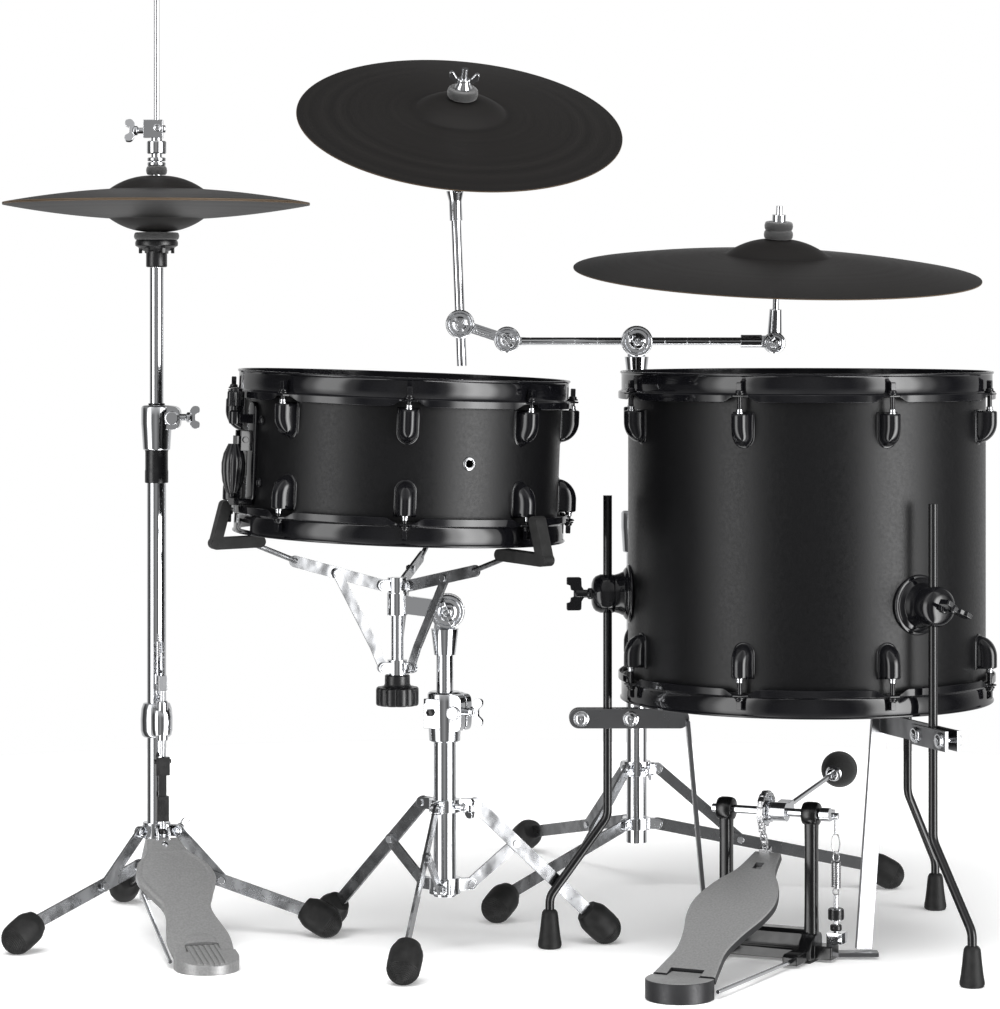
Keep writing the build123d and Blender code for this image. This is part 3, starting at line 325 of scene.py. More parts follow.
# Cymbals -----------------------------------------------------------------------------------------
def cymbal(name, place, body, radius, bell_radius, bell_rise, bow_rise, hole, thickness=1.2):
    """Thin bowed disc with a bell and a rounded rim, its rim in the local plane z = 0."""
    bow = arc_through((radius, 0), ((radius + bell_radius) / 2, bow_rise * 0.62), (bell_radius, bow_rise), 40)
    top = bow_rise + bell_rise
    bell = arc_through((bell_radius, bow_rise), (bell_radius * 0.62, bow_rise + bell_rise * 0.70),
        (hole, top), 20)
    under = bow + bell[1:]
    over = [(r, z + thickness) for r, z in reversed(under)]
    rim = [(radius + 0.15, thickness * 0.7), (radius + 0.15, thickness * 0.3)]
    piece(name, lathe(over + rim + under, 160), place, body, "cymbal", cymbal_shader(radius * MM),
          [name], smooth=50)


HAT_EDGE = 844.0
hats = at(HIHAT[0], HIHAT[1], 0)
cymbal("hihat_top_cymbal", hats @ at(0, 0, HAT_EDGE + 0.15), "hihat_clutch", 177.8, 55.0, 16.0, 15.5, 7.0)
cymbal("hihat_bottom_cymbal", hats @ at(0, 0, HAT_EDGE - 0.15) @ turn(180, "X"), "hihat_column",
       177.8, 55.0, 16.0, 15.5, 7.0)
crash = aimed(CRASH_KNUCKLE, CRASH_NORMAL)
ride = aimed(RIDE_TILTER, RIDE_NORMAL)
cymbal("crash_cymbal", crash @ at(0, 0, 76), "crash_cymbal", 203.0, 57.0, 18.0, 16.0, 6.0)
cymbal("ride_cymbal", ride @ at(0, 0, 87), "ride_cymbal", 254.0, 64.5, 20.0, 22.0, 6.0)


# Drums -------------------------------------------------------------------------------------------
LUGS = 8


def smooth(value, low, high):
    t = min(max((value - low) / (high - low), 0.0), 1.0)
    return t * t * (3 - 2 * t)


def hoop(shell, lug_angle, steps=360):
    """Flanged hoop with a scalloped skirt that lifts to each ear, its rim at z = 0, the drum below."""
    wall, outer = shell + 5.5, shell + 7.6
    rings = []
    for k in range(steps):
        angle = 360 * k / steps
        near = (angle - (lug_angle - 90)) % (360 / LUGS)
        arc = math.radians(min(near, 360 / LUGS - near)) * (shell + 11)
        drop, ear = smooth(arc, 7, 22), 1 - smooth(arc, 5.5, 8.5)
        low, reach = -25.2 - 6.0 * drop, shell + 11.2 + 2.0 * (1 - drop) + 6.0 * ear
        rings.append([(wall, -0.8), (wall + 0.8, 0), (shell + 8.3, 0), (shell + 9.1, -0.7),
            (shell + 9.1, -2.0), (outer + 0.5, -3.0), (outer, -3.8), (outer, -20.6), (outer + 0.9, -21.9),
            (shell + 10.2, -22.4), (reach - 0.8, -22.6 - 0.8 * ear), (reach, -23.4),
            (reach + 0.1, (low - 23.4) / 2), (reach - 0.1, low + 0.5), (reach - 0.8, low),
            (reach - 1.5, low + 0.5), (reach - 2.0, -24.6), (wall, -24.6), (wall, -20.8),
            (shell + 1.7, -20.8), (shell + 1.7, -18.9), (wall, -18.9)])
    vertices, faces, count = [], [], len(rings[0])
    for k, ring in enumerate(rings):
        a = 2 * math.pi * k / steps
        vertices += [(r * math.cos(a), r * math.sin(a), z) for r, z in ring]
    for k in range(steps):
        for j in range(count):
            n = (j + 1) % count
            m = (k + 1) % steps
            faces.append([k * count + j, m * count + j, m * count + n, k * count + n])
    return vertices, faces


def loft(rings, caps=True):
    """Skin over rings of points with the same count."""
    vertices = [point for ring in rings for point in ring]
    count = len(rings[0])
    faces = []
    for k in range(len(rings) - 1):
        for j in range(count):
            n = (j + 1) % count
            faces.append([k * count + j, k * count + n, (k + 1) * count + n, (k + 1) * count + j])
    if caps:
        faces.append(list(range(count))[::-1])
        faces.append([(len(rings) - 1) * count + j for j in range(count)])
    return vertices, faces


def merged(*parts):
    """One mesh from (mesh data, matrix) pairs; a mirrored matrix is fine, normals are set later."""
    vertices, faces = [], []
    for (points, skins), place in parts:
        base = len(vertices)
        vertices += [tuple(place @ Vector(p)) for p in points]
        faces += [[i + base for i in skin] for skin in skins]
    return vertices, faces


def lug_body(top, height, width=21.0, depth=22.0):
    """Half bullet against the plane x = 0: flat top with a soft edge, rounded front, tip at the bottom."""
    rings = []
    stations = [(0.0, 0.90), (0.012, 0.965), (0.04, 1.0)] + [(t, 1.0) for t in (0.12, 0.22, 0.34)]
    stations += [(0.34 + 0.66 * math.sin(math.pi / 2 * k / 12), 1.0) for k in range(1, 13)]
    for t, inset in stations:
        late = max((t - 0.36) / 0.64, 0.0)
        deep = depth * math.sqrt(max(1 - late**2, 0.0)) * inset
        late = max((t - 0.66) / 0.34, 0.0)
        half = width / 2 * math.sqrt(max(1 - late**2, 0.0)) * (0.5 + 0.5 * inset)
        ring = []
        for k in range(25):
            phi = math.pi * k / 24 - math.pi / 2
            side = math.copysign(abs(math.sin(phi)) ** 0.85, math.sin(phi))
            ring.append((max(deep, 0.3) * math.cos(phi) ** 0.6, max(half, 0.3) * side, top - height * t))
        rings.append(ring)
    return loft(rings)


def lug_plate(top, height, width=25.0):
    """Thin mounting plate behind a lug, following its outline."""
    half = width / 2
    centre = top - height + half - 2
    outline = [(half * math.cos(math.pi + math.pi * k / 24), centre + half
        * math.sin(math.pi + math.pi * k / 24)) for k in range(25)] + [(half, top + 1.5),
        (-half, top + 1.5)]
    rings = []
    for depth, grow in ((-1.5, 0.0), (0.9, 0.0), (1.7, -0.5), (2.1, -1.6)):
        rings.append([(depth, y * (half + grow) / half, z + (grow if z > centre else -grow
            * (z < centre - 6))) for y, z in outline])
    return loft(rings)


def square_head(ear):
    """Washer, collar and square drive at the top of a tension rod."""
    drive = []
    for height, half in ((4.6, 2.2), (5.4, 2.7), (12.6, 2.7), (13.5, 2.1)):
        drive.append([(half * x, half * y, ear + height) for x, y in ((1, 1), (-1, 1), (-1, -1), (1, -1))])
    collar = lathe([(0, ear + 0.1), (5.6, ear + 0.1), (5.8, ear + 0.6), (5.8, ear + 1.4), (5.0, ear + 1.9),
                    (4.3, ear + 2.4), (4.5, ear + 3.6), (3.6, ear + 4.8), (0, ear + 5.2)], 24)
    return merged((loft(drive), Matrix()), (collar, Matrix()))


def drum(name, place, body, shell, height, lug_angle, lug_top, lug_height, cutters=()):
    half = height / 2
    flip = turn(180, "X")
    hoops = merged((hoop(shell, lug_angle), at(0, 0, half)),
                   (hoop(shell, 180 - lug_angle), at(0, 0, -half) @ flip))
    rims = piece(f"{name}_hoops_rolled", hoops, place, body, "black_chrome", replaces=[f"{name}_hoops"],
        smooth=40)
    if cutters:
        cut(rims, cutters)
    spots = [turn(lug_angle - 90 + k * 360 / LUGS) for k in range(LUGS)]
    spots += [spot @ flip for spot in spots]
    wall, rod = at(shell - 0.9, 0, 0), at(shell + 13, 0, 0)
    piece(f"{name}_lugs_cast", merged(*[(part, spot @ wall) for spot in spots for part in (
        lug_body(lug_top, lug_height), lug_plate(lug_top, lug_height))]), place, body, "black_chrome",
          replaces=[f"{name}_lugs"], smooth=50)
    nut = lathe([(0, lug_top - 2), (4.2, lug_top - 2), (4.2, lug_top + 1.2), (3.6, lug_top + 1.8),
                 (3.6, lug_top + 4.4), (3.1, lug_top + 5.0), (0, lug_top + 5.0)], 24)
    piece(f"{name}_swivel_nuts", merged(*[(nut, spot @ rod) for spot in spots]), place, body, "chrome")
    ear = half - 22.5
    shank = lathe([(0, lug_top + 4.9), (2.6, lug_top + 4.9), (2.6, ear + 0.6), (0, ear + 0.6)], 20)
    piece(f"{name}_rods_turned", merged(*[(part, spot @ rod) for spot in spots for part in (
        shank, square_head(ear))]), place, body, "black_chrome", replaces=[f"{name}_tension_rods"])


def cut(target, boxes):
    """Cuts boxes of (low corner, high corner, turn) out of a piece, in millimetres in its own frame."""
    tools = []
    for low, high, angle in boxes:
        corners = [(x, y, z) for x in (low[0], high[0]) for y in (low[1], high[1]) for z in (low[2], high[2])]
        faces = [[0, 1, 3, 2], [4, 6, 7, 5], [0, 4, 5, 1], [2, 3, 7, 6], [0, 2, 6, 4], [1, 5, 7, 3]]
        mesh = bpy.data.meshes.new("tool")
        mesh.from_pydata([[c * MM for c in turn(angle) @ Vector(p)] for p in corners], [], faces)
        fix = bmesh.new()
        fix.from_mesh(mesh)
        bmesh.ops.recalc_face_normals(fix, faces=fix.faces)
        fix.to_mesh(mesh)
        fix.free()
        tool = bpy.data.objects.new("tool", mesh)
        bpy.context.scene.collection.objects.link(tool)
        tool.matrix_world = target.matrix_world
        modifier = target.modifiers.new("cut", "BOOLEAN")
        modifier.operation, modifier.solver, modifier.object = "DIFFERENCE", "EXACT", tool
        tools.append(tool)
    bpy.context.view_layer.update()
    shaped = bpy.data.meshes.new_from_object(target.evaluated_get(bpy.context.evaluated_depsgraph_get()))
    target.modifiers.clear()
    target.data = shaped
    for tool in tools:
        bpy.data.objects.remove(tool)


SNARE_SHELL, SNARE_HEIGHT, STRAINER_ANGLE = 177.0, 180.7, -65.5
snare = at(*SNARE_CENTRE) @ turn(SNARE_ROLL, "Y")
low_gate = ((150, -17, -SNARE_HEIGHT / 2 + 5), (200, 17, -SNARE_HEIGHT / 2 + 17))
drum("snare", snare, "snare_basket", SNARE_SHELL, SNARE_HEIGHT, 3.4, 57.0, 36.5,
     [(*low_gate, STRAINER_ANGLE - 90), (*low_gate, STRAINER_ANGLE + 90)])
TOM_BOTTOM, TOM_TOP = 280.0, 651.5
tom_height = TOM_TOP - TOM_BOTTOM
tom = at(TOM[0], TOM[1], (TOM_TOP + TOM_BOTTOM) / 2)
drum("tom", tom, "tom", 202.0, tom_height, 20.5, tom_height / 2 - 43.0, 36.0)


# Wing screws, wing nuts, felts and feet ----------------------------------------------------------
def bevel(obj, width, segments=2, angle=30):
    modifier = obj.modifiers.new("soft edges", "BEVEL")
    modifier.width, modifier.segments = width * MM, segments
    modifier.limit_method, modifier.angle_limit = "ANGLE", math.radians(angle)
    return obj


def prism(outline, low, high):
    """Outline in local XZ, extruded along Y."""
    count = len(outline)
    vertices = [(x, y, z) for y in (low, high) for x, z in outline]
    faces = [list(range(count)), list(range(count, 2 * count))[::-1]]
    faces += [[k, (k + 1) % count, count + (k + 1) % count, count + k] for k in range(count)]
    return vertices, faces


def curve(points, closed=True, parts=6):
    """Catmull-Rom points through a flat outline."""
    result, count = [], len(points)
    spans = count if closed else count - 1
    for k in range(spans):
        quad = [points[(k + j) % count if closed else min(max(k + j, 0), count - 1)] for j in (-1, 0, 1, 2)]
        for step in range(parts):
            t = step / parts
            result.append(tuple(0.5 * ((2 * b) + (c - a) * t + (2 * a - 5 * b + 4 * c - d) * t * t
                                       + (3 * b - a - 3 * c + d) * t**3) for a, b, c, d in zip(*quad)))
    return result if closed else result + [points[-1]]


def wing_screw(shaft, length, span, thick=4.4):
    """Wing screw along local X with two flared, rounded wings."""
    half = span / 2
    upper = [(length - 3, 4.2), (length + 0.5, 5.5), (length + 1, half - 1), (length + 5, half + 3),
             (length + 11, half + 2), (length + 11.5, half - 4), (length + 7, half - 8 if half > 11 else 3.5)]
    outline = curve(upper + [(length + 6.5, 0)] + [(x, -z) for x, z in reversed(upper)] + [(length - 4, 0)],
        parts=4)
    shank = lathe([(0, 0), (shaft, 0), (shaft, length - 4), (shaft + 2, length - 2.5),
        (shaft + 2, length + 1), (shaft + 0.5, length + 3), (0, length + 3.5)], 24)
    return merged((prism(outline, -thick / 2, thick / 2), Matrix()), (shank, turn(90, "Y")))


def screws(name, body, slot, places, replaces=()):
    made = piece(name, merged(*[(wing_screw(*size), place) for place, size in places]), Matrix(), body, slot,
                 replaces=replaces)
    return bevel(made, 0.9, 3)


screws("stand_wings_cast", "stands", "chrome", [(radial(HIHAT, 90, 596) @ at(26.2), (4.0, 12, 20)),
    (radial(SNARE_POLE, 60, 272) @ at(27.2), (4.0, 10, 24)), (radial(CYMBAL_POLE, 90, 455) @ at(27.2),
    (4.0, 10, 24)), (radial(HIHAT, 120, 117) @ at(16.4), (3.5, 14, 16)),
    (radial(SNARE_POLE, 47, 165.5) @ at(18.0), (3.5, 14, 16)),
    (radial(CYMBAL_POLE, 26, 148) @ at(18.0), (3.5, 14, 16))], ["stand_wing_screws"])


def felt(name, place, body, discs, replaces):
    """Stack of felt washers (radius, bore, low, high) with soft bulging edges."""
    parts = []
    for radius, bore, low, high in discs:
        soft = min((high - low) * 0.3, 2.5)
        profile = [(bore, low + 0.4), (bore + 0.6, low), (radius - soft, low)]
        profile += [(radius - soft + soft * math.sin(a), (low + high) / 2 - ((high - low) / 2)
            * math.cos(a) ** 0.7 if a < math.pi / 2 else (low + high) / 2) for a in (0.4, 0.8, 1.2)]
        profile += [(radius + 0.2, (low + high) / 2)]
        profile += [(r, low + high - z) for r, z in reversed(profile[:-1])]
        parts.append((lathe(profile, 72), Matrix()))
    return piece(name, merged(*parts), place, body, "felt", replaces=replaces)


felt("hihat_clutch_felt_pads", hats, "hihat_clutch", [(11, 6.3, 866.7, 874.9), (12, 6.3, 877.6, 887.8)],
     ["hihat_clutch_felts"])
felt("hihat_seat_felt_pad", hats, "hihat_column", [(26, 8, 802.2, 810.8)], ["hihat_seat_felt"])
CRASH_BELL, RIDE_BELL = 76 + 16 + 18, 87 + 22 + 20
felt("crash_felt_pads", crash, "crash_tilter", [(16, 4.3, CRASH_BELL - 16.7, CRASH_BELL - 0.6),
    (19, 4.3, CRASH_BELL + 1.8, CRASH_BELL + 13.5)], ["crash_felts"])
felt("ride_felt_pads", ride, "ride_tilter", [(15, 4.2, RIDE_BELL - 15.7, RIDE_BELL - 0.6),
                                             (18, 4.2, RIDE_BELL + 1.8, RIDE_BELL + 12.2),
                                             (17.6, 4.2, RIDE_BELL + 12.4, RIDE_BELL + 23)], ["ride_felts"])
nut_low = CRASH_BELL + 13.8
nut_hub = lathe([(4.05, nut_low), (10.4, nut_low), (10.8, nut_low + 1), (10.2, nut_low + 3),
    (8.2, nut_low + 6), (7.6, nut_low + 12), (6.4, nut_low + 13.2), (4.05, nut_low + 13.2)], 36)
wing = curve([(5, nut_low + 5), (11, nut_low + 8), (17, nut_low + 12), (18.4, nut_low + 19),
    (15, nut_low + 21.5), (12, nut_low + 18), (9, nut_low + 14), (5, nut_low + 12.5)], parts=5)
bevel(piece("crash_wing_nut_cast", merged((nut_hub, Matrix()), (prism(wing, -2.6, 2.6), Matrix()),
    (prism(wing, -2.6, 2.6), turn(180))), crash, "crash_wing_nut", "chrome", replaces=["crash_wing_nut"]),
    0.9, 3)

FOOT_RADIUS = 18.5


def tripod_foot():
    """Bullet foot along local Z: flared collar, smooth body and a ribbed ball."""
    profile = [(0, -9), (12.6, -9), (13.6, -8.2), (14.4, -6), (17.2, -0.5), (18.2, 3), (18.5, 8), (18.5, 20)]
    for k in range(1, 27):
        polar = math.pi / 2 * k / 27
        rib = 0.75 * (k % 2) if 3 < k < 24 else 0.3
        reach = FOOT_RADIUS - rib
        profile.append((reach * math.cos(polar), 22 + reach * math.sin(polar)))
    return lathe(profile + [(0, 22 + FOOT_RADIUS - 0.4)], 64)


feet = []
for centre, angle, circle, tilt in ((HIHAT, -43.3, 205.0, 30.0), (SNARE_POLE, -12.5, 190.0, 43.0),
                                    (CYMBAL_POLE, -33.7, 315.0, 28.0)):
    lean = math.radians(tilt)
    face = (circle - 22 * math.cos(lean), 17.9 + 22 * math.sin(lean))
    for step in (0, 120, 240):
        feet.append((tripod_foot(), radial(centre, angle + step) @ at(face[0], 0, face[1]) @ turn(90 + tilt,
            "Y")))
tom_foot = lathe([(0, 0), (10.4, 0), (12.6, 1.0), (13.5, 3.4), (13.5, 6), (12.9, 9), (12.2, 13), (10.6, 26),
    (9.6, 36), (8.9, 40.5), (7.2, 43.2), (5.4, 44), (5.2, 40), (0, 40)], 14)
KICK, KICK_ANGLE = (288.3, -251.1, 162.0), -25.0
kick = radial(KICK, KICK_ANGLE)
feet += [(tom_foot, radial(TOM, angle) @ at(292)) for angle in (32, -86, 143)]
pad = prism([(-14, 0), (24, 0), (24, 2.9), (-14, 2.9)], -7, 7)
feet += [(pad, kick @ at(0, side * 50.5)) for side in (-1, 1)]
rubber = piece("rubber_feet_moulded", merged(*feet), Matrix(), "stands", "rubber", replaces=["rubber_feet"])
for vertex in rubber.data.vertices:
    vertex.co.z = max(vertex.co.z, 0.0)


# Pedals ------------------------------------------------------------------------------------------
HIHAT_PEDAL_ANGLE, HIHAT_HINGE, HIHAT_TOE = 18.0, (240.0, 14.0), (31.0, 108.0)
KICK_HINGE, KICK_TOE = (251.0, 19.0), (2.5, 112.5)
hihat_pedal = radial(HIHAT, HIHAT_PEDAL_ANGLE)
SIDE_LOOK = Shader("footboard_side", (0.03, 0.03, 0.032), 0.3, 0.4).vary_roughness(400, 0.34,
    0.5).rounded(0.001)


def footboard(name, place, body, hinge, toe, outline, thick, relief, tongue, dark_side, replaces):
    """Footboard from heel (u = 0) to toe with its outline as (u, half width), a raised relief on top."""
    run = math.hypot(hinge[0] - toe[0], toe[1] - hinge[1])
    slope = math.atan2(toe[1] - hinge[1], hinge[0] - toe[0])
    edge = curve([(u * run, w) for u, w in outline], closed=False, parts=16)
    columns = 64
    rings = []
    for u, half in edge:
        across = [half * (2 * j / columns - 1) for j in range(columns + 1)]
        soft = [1.3 * smooth(abs(y), half - 1.6, half) for y in across]
        top = [(u, y, thick / 2 - soft[j] + relief(u / run, y, half)) for j, y in enumerate(across)]
        rings.append(top + [(u, half, -thick / 2 + 0.8), (u, half - 0.8, -thick / 2),
            (u, -half + 0.8, -thick / 2), (u, -half, -thick / 2 + 0.8)])
    frame_at = place @ at(hinge[0], 0, hinge[1]) @ Matrix.Rotation(slope, 4, "Y") @ turn(180)
    made = piece(name, loft(rings), frame_at, body, "footboard", replaces=replaces, smooth=40)
    cut(made, [((-thick, -19, -20), (tongue, 19, 20), 0)])
    if dark_side:
        made.data.materials.append(SIDE_LOOK.material)
        for polygon in made.data.polygons:
            if abs(polygon.normal.z) < 0.6 or polygon.center.z < 0:
                polygon.material_index = 1
    return made


def hihat_relief(u, y, half):
    """Raised border round the sole and a half-round bump before the tongue."""
    border = smooth(half - abs(y), 1.0, 2.5) * (1 - smooth(half - abs(y), 4.5, 7.0)) * smooth(u, 0.40, 0.46)
    border *= 1 - smooth(u, 0.84, 0.90)
    sole = 0.9 * border + 0.7 * (1 - smooth(abs(u - 0.88), 0.0, 0.012)) * (half > 8)
    bump = max(0.0, 1 - (y / 19) ** 2 - ((u * 229 - 13) / 21) ** 2)
    return sole + 3.2 * math.sqrt(bump) * (u * 229 > 11)


def kick_relief(u, y, half):
    """Sunken square hole near the toe."""
    run = 250
    hole = (abs(u * run - 0.885 * run) < 5.5) and abs(y) < 4.5
    return -4.0 if hole else 0.0


hihat_outline = [(0, 34), (0.14, 35), (0.36, 26.5), (0.50, 35), (0.64, 45), (0.77, 40), (0.88, 25), (1, 19)]
kick_outline = [(0, 35), (0.10, 31), (0.20, 28.5), (0.33, 34), (0.47, 44), (0.60, 46.5), (0.74, 37),
                (0.85, 23), (1, 16)]
footboard("hihat_footboard_cast", hihat_pedal, "hihat_board", HIHAT_HINGE, HIHAT_TOE, hihat_outline, 8.0,
          hihat_relief, 14, False, ["hihat_footboard"])
footboard("kick_footboard_cast", kick, "kick_board", KICK_HINGE, KICK_TOE, kick_outline, 9.0,
          kick_relief, 12, True, ["kick_footboard"])
cheeks = [(prism([(25, 106), (37, 106), (37, 118), (34, 124), (28, 124), (25, 118)], y, y + 3), Matrix())
          for y in (5.4, -8.4)]
bevel(piece("hihat_toe_clevis", merged(*cheeks), hihat_pedal, "hihat_board", "chrome"), 0.8, 3)
stem = lathe([(0, 112), (3.6, 112), (4.4, 113.5), (4.4, 118), (3.4, 119.5), (3.4, 131.6), (0, 131.6)], 32)
piece("hihat_link_stem", stem, hihat_pedal @ at(31), "hihat_link", "chrome")
board_slope = math.degrees(math.atan2(HIHAT_TOE[1] - HIHAT_HINGE[1], HIHAT_HINGE[0] - HIHAT_TOE[0]))
bolt_at = hihat_pedal @ at(HIHAT_HINGE[0], 0, HIHAT_HINGE[1]) @ turn(board_slope, "Y") @ turn(180) @ at(216,
    0, 3.8)
bolt = [(0, 0), (4.2, 0), (4.0, 1.6), (2.8, 2.8), (0, 3.3)]
piece("hihat_toe_bolt", lathe(bolt, 32), bolt_at, "hihat_board", "chrome")


def heel_plate(hinge, width, length, thick, notch, ribs, climb, drop):
    """Rounded heel plate that falls by `drop` to its front edge, its hinge tongue and raised tread ribs."""
    start, half = hinge[0] + 5, width / 2

    def fall(x):
        return 1 - drop / thick * max(0.0, x - start) / length
    centre = start + length - half
    outline = [(start, -half)] + [(centre + half * math.cos(a), half * math.sin(a)) for a in
                                  [math.pi * (k / 32 - 0.5) for k in range(33)]] + [(start, half)]
    rings = []
    for z, inset in ((0, 0.8), (0.8, 0.0), (thick - 1.4, 0.0), (thick - 0.5, 0.4), (thick, 1.3)):
        rings.append([(start + (x - start) * (1 - inset / length) if x > start else x,
                       y * (1 - inset / half), z * fall(x)) for x, y in outline])
    parts = [(loft(rings), Matrix()), (prism([(hinge[0] - notch, 4), (start + 2, 4), (start + 2, thick - 0.1),
                                              (hinge[0] - notch, thick + climb)], -18, 18), Matrix())]
    for k in range(ribs):
        y = (k - (ribs - 1) / 2) * 6.1
        end = start + length - 3 - 0.020 * y * y
        bar = curve([(hinge[0] - notch + 1, thick - 2), (hinge[0] - notch + 2, thick + climb + 0.8),
            (start + 3, thick + 1.2), (end - 3, thick * fall(end - 3) + 1.1),
            (end, thick * fall(end) - 1.0)], closed=False, parts=5)
        parts.append((prism(bar, y - 1.7, y + 1.7), Matrix()))
    return merged(*parts)


heels = [piece("hihat_heel_cast", heel_plate(HIHAT_HINGE, 70, 47, 19, 10.6, 6, 3.0, 8.5), hihat_pedal,
    "stands", "footboard", replaces=["pedal_heel_plates"]), piece("kick_heel_cast",
    heel_plate(KICK_HINGE, 72, 45, 22, 9.8, 0, 1.6, 0.0), kick, "stands", "footboard")]
bevel(heels[0], 0.9, 2)
bevel(heels[1], 0.5, 2)
heels[1].data.materials.append(SIDE_LOOK.material)
for polygon in heels[1].data.polygons:
    if abs(polygon.normal.z) < 0.5 or polygon.center.z < 15 * MM:
        polygon.material_index = 1


def swept(points, radius, steps=10, caps=True):
    """Round wire along points, with frames carried along without twist."""
    points = [Vector(p) for p in points]
    tangents = [(points[min(k + 1, len(points) - 1)] - points[max(k - 1, 0)]).normalized()
        for k in range(len(points))]
    normal = tangents[0].orthogonal().normalized()
    rings = []
    for point, tangent in zip(points, tangents):
        normal = (normal - tangent * normal.dot(tangent)).normalized()
        side = tangent.cross(normal)
        rings.append([tuple(point + (normal * math.cos(2 * math.pi * j / steps) + side * math.sin(
            2 * math.pi * j / steps)) * radius) for j in range(steps)])
    return loft(rings, caps)


def coil(radius, wire, low, high, turns, steps=18):
    """Helical body of an extension spring; its end loops, where wanted, are made apart."""
    count = turns * steps
    body = [(radius * math.cos(2 * math.pi * k / steps), radius * math.sin(2 * math.pi * k / steps),
             low + (high - low) * k / count) for k in range(count + 1)]
    return swept(body, wire, 8)


HALF_POST, AXLE_Z, HUB_Y, SPRING_X, ARM_Y = 50.5, 162.0, 13.0, -16.0, 65.5
spring_place = kick @ at(SPRING_X, ARM_Y + 8)
loops = [swept([(0, wide * math.sin(a), z + rise * (1 - math.cos(a))) for a in
                [2 * math.pi * k / 24 for k in range(23)]], 0.95, 8)
         for z, rise, wide in ((108.0, 5.5, 3.6), (78.0, -3.6, 3.6), (117.0, 11.0, 4.6))]
spring_mesh = merged((coil(4.6, 0.95, 79, 108, 15), Matrix()), *[(loop, Matrix()) for loop in loops])
spring = piece("kick_spring_coil", spring_mesh, spring_place, "stands", "spring_steel",
    replaces=["kick_spring"])
spring.parent = None
spring.matrix_world = Matrix.LocRotScale(spring_place.translation * MM, spring_place.to_quaternion(), None)
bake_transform(spring)


def link_plate(length, half, low, high):
    """Figure-eight side plate of a roller chain, along local Z."""
    outline = []
    for k in range(32):
        a = 2 * math.pi * k / 32
        waist = 1 - 0.22 * (1 - abs(math.sin(a)))
        outline.append((half * math.cos(a) * waist, length / 2 * math.sin(a) + half * math.sin(a)))
    return prism(outline, low, high)


def chain_link(outer):
    low, high = (2.5, 3.5) if outer else (1.4, 2.4)
    roller = lathe([(0, -3.8), (1.5, -3.8), (1.5, -1.2), (2.6, -1.2), (2.6, 1.2), (1.5, 1.2), (1.5, 3.8),
        (0, 3.8)], 16)
    return merged((link_plate(8.0, 3.3, low, high), Matrix()), (link_plate(8.0, 3.3, -high, -low), Matrix()),
                  (roller, at(0, 0, 4) @ turn(90, "X")))


CHAIN_SLOPE = 27.0
down = math.radians(CHAIN_SLOPE)
chain_top = (20 * math.cos(down), AXLE_Z - 20 * math.sin(down))
hanging = [(chain_link(k % 2 == 0), at(chain_top[0] - (8 * k + 8) * math.sin(down), -3,
                                       chain_top[1] - (8 * k + 8) * math.cos(down)) @ turn(CHAIN_SLOPE, "Y"))
           for k in range(5)]
hanging.append((prism([(-3, 117.6), (6, 114.4), (7.5, 119.8), (-1.6, 123.0)], -9.0, 3.0), Matrix()))
bevel(piece("kick_chain_links", merged(*hanging), kick, "kick_board", "spring_steel",
    replaces=["kick_chain"]), 0.25, 1)
wrapped = []
for k in range(9):
    a = math.radians(-22 + 23 * k)
    wrapped.append((chain_link(k % 2 == 1), at(20 * math.cos(a), -3, AXLE_Z + 20 * math.sin(a)) @ turn(
        -math.degrees(a), "Y")))
bevel(piece("kick_chain_wrap", merged(*wrapped), kick, "kick_axle", "spring_steel"), 0.25, 1)
teeth = []
for k in range(14):
    a = 2 * math.pi * k / 14
    teeth += [(17.6 * math.cos(a + da), 17.6 * math.sin(a + da)) if near
        else (15.0 * math.cos(a + da), 15.0 * math.sin(a + da)) for da,
        near in ((-0.14, False), (-0.07, True), (0.07, True), (0.14, False))]
bevel(piece("kick_sprocket", prism(teeth, -4.6, -1.4), kick @ at(0, 0, AXLE_Z), "kick_axle", "chrome"), 0.4,
    2)

BEATER_LENGTH, BEATER_RISE, BEATER_RADIUS = 200.0, 6.8, 21.0
rise = math.radians(BEATER_RISE)
beater_axis = Vector((-math.cos(rise), 0, math.sin(rise)))
beater = kick @ at(0, HUB_Y, AXLE_Z) @ aimed((0, 0, 0), beater_axis)
ball = [(0, BEATER_LENGTH - BEATER_RADIUS + 0.2), (7.6, BEATER_LENGTH - 19.6)]
for k in range(30, 181):
    a = math.radians(k)
    if a < 0.4:
        continue
    seam = 0.9 * math.exp(-((k - 96) / 1.8) ** 2)
    reach = BEATER_RADIUS - seam
    ball.append((reach * math.sin(a), BEATER_LENGTH - reach * math.cos(a)))
piece("kick_beater_felt", lathe(ball[:-1] + [(0, BEATER_LENGTH + BEATER_RADIUS)], 72), beater, "kick_axle",
    "felt", Shader("beater_felt", (0.010, 0.010, 0.011), 0.0, 0.9).vary_colour(900, (0.005,) * 3,
    (0.02,) * 3).set(sheen_weight=0.25, sheen_roughness=0.5).grain(1500, 0.0005, 0.8).material,
    replaces=["kick_beater"])
cap = lathe([(2.9, BEATER_LENGTH - 27), (6.4, BEATER_LENGTH - 27), (7.2, BEATER_LENGTH - 26.2),
             (7.6, BEATER_LENGTH - 22), (9.4, BEATER_LENGTH - 19.8), (9.0, BEATER_LENGTH - 18.4),
             (2.9, BEATER_LENGTH - 18.4)], 40)
piece("kick_beater_cap", cap, beater, "kick_axle", "chrome")


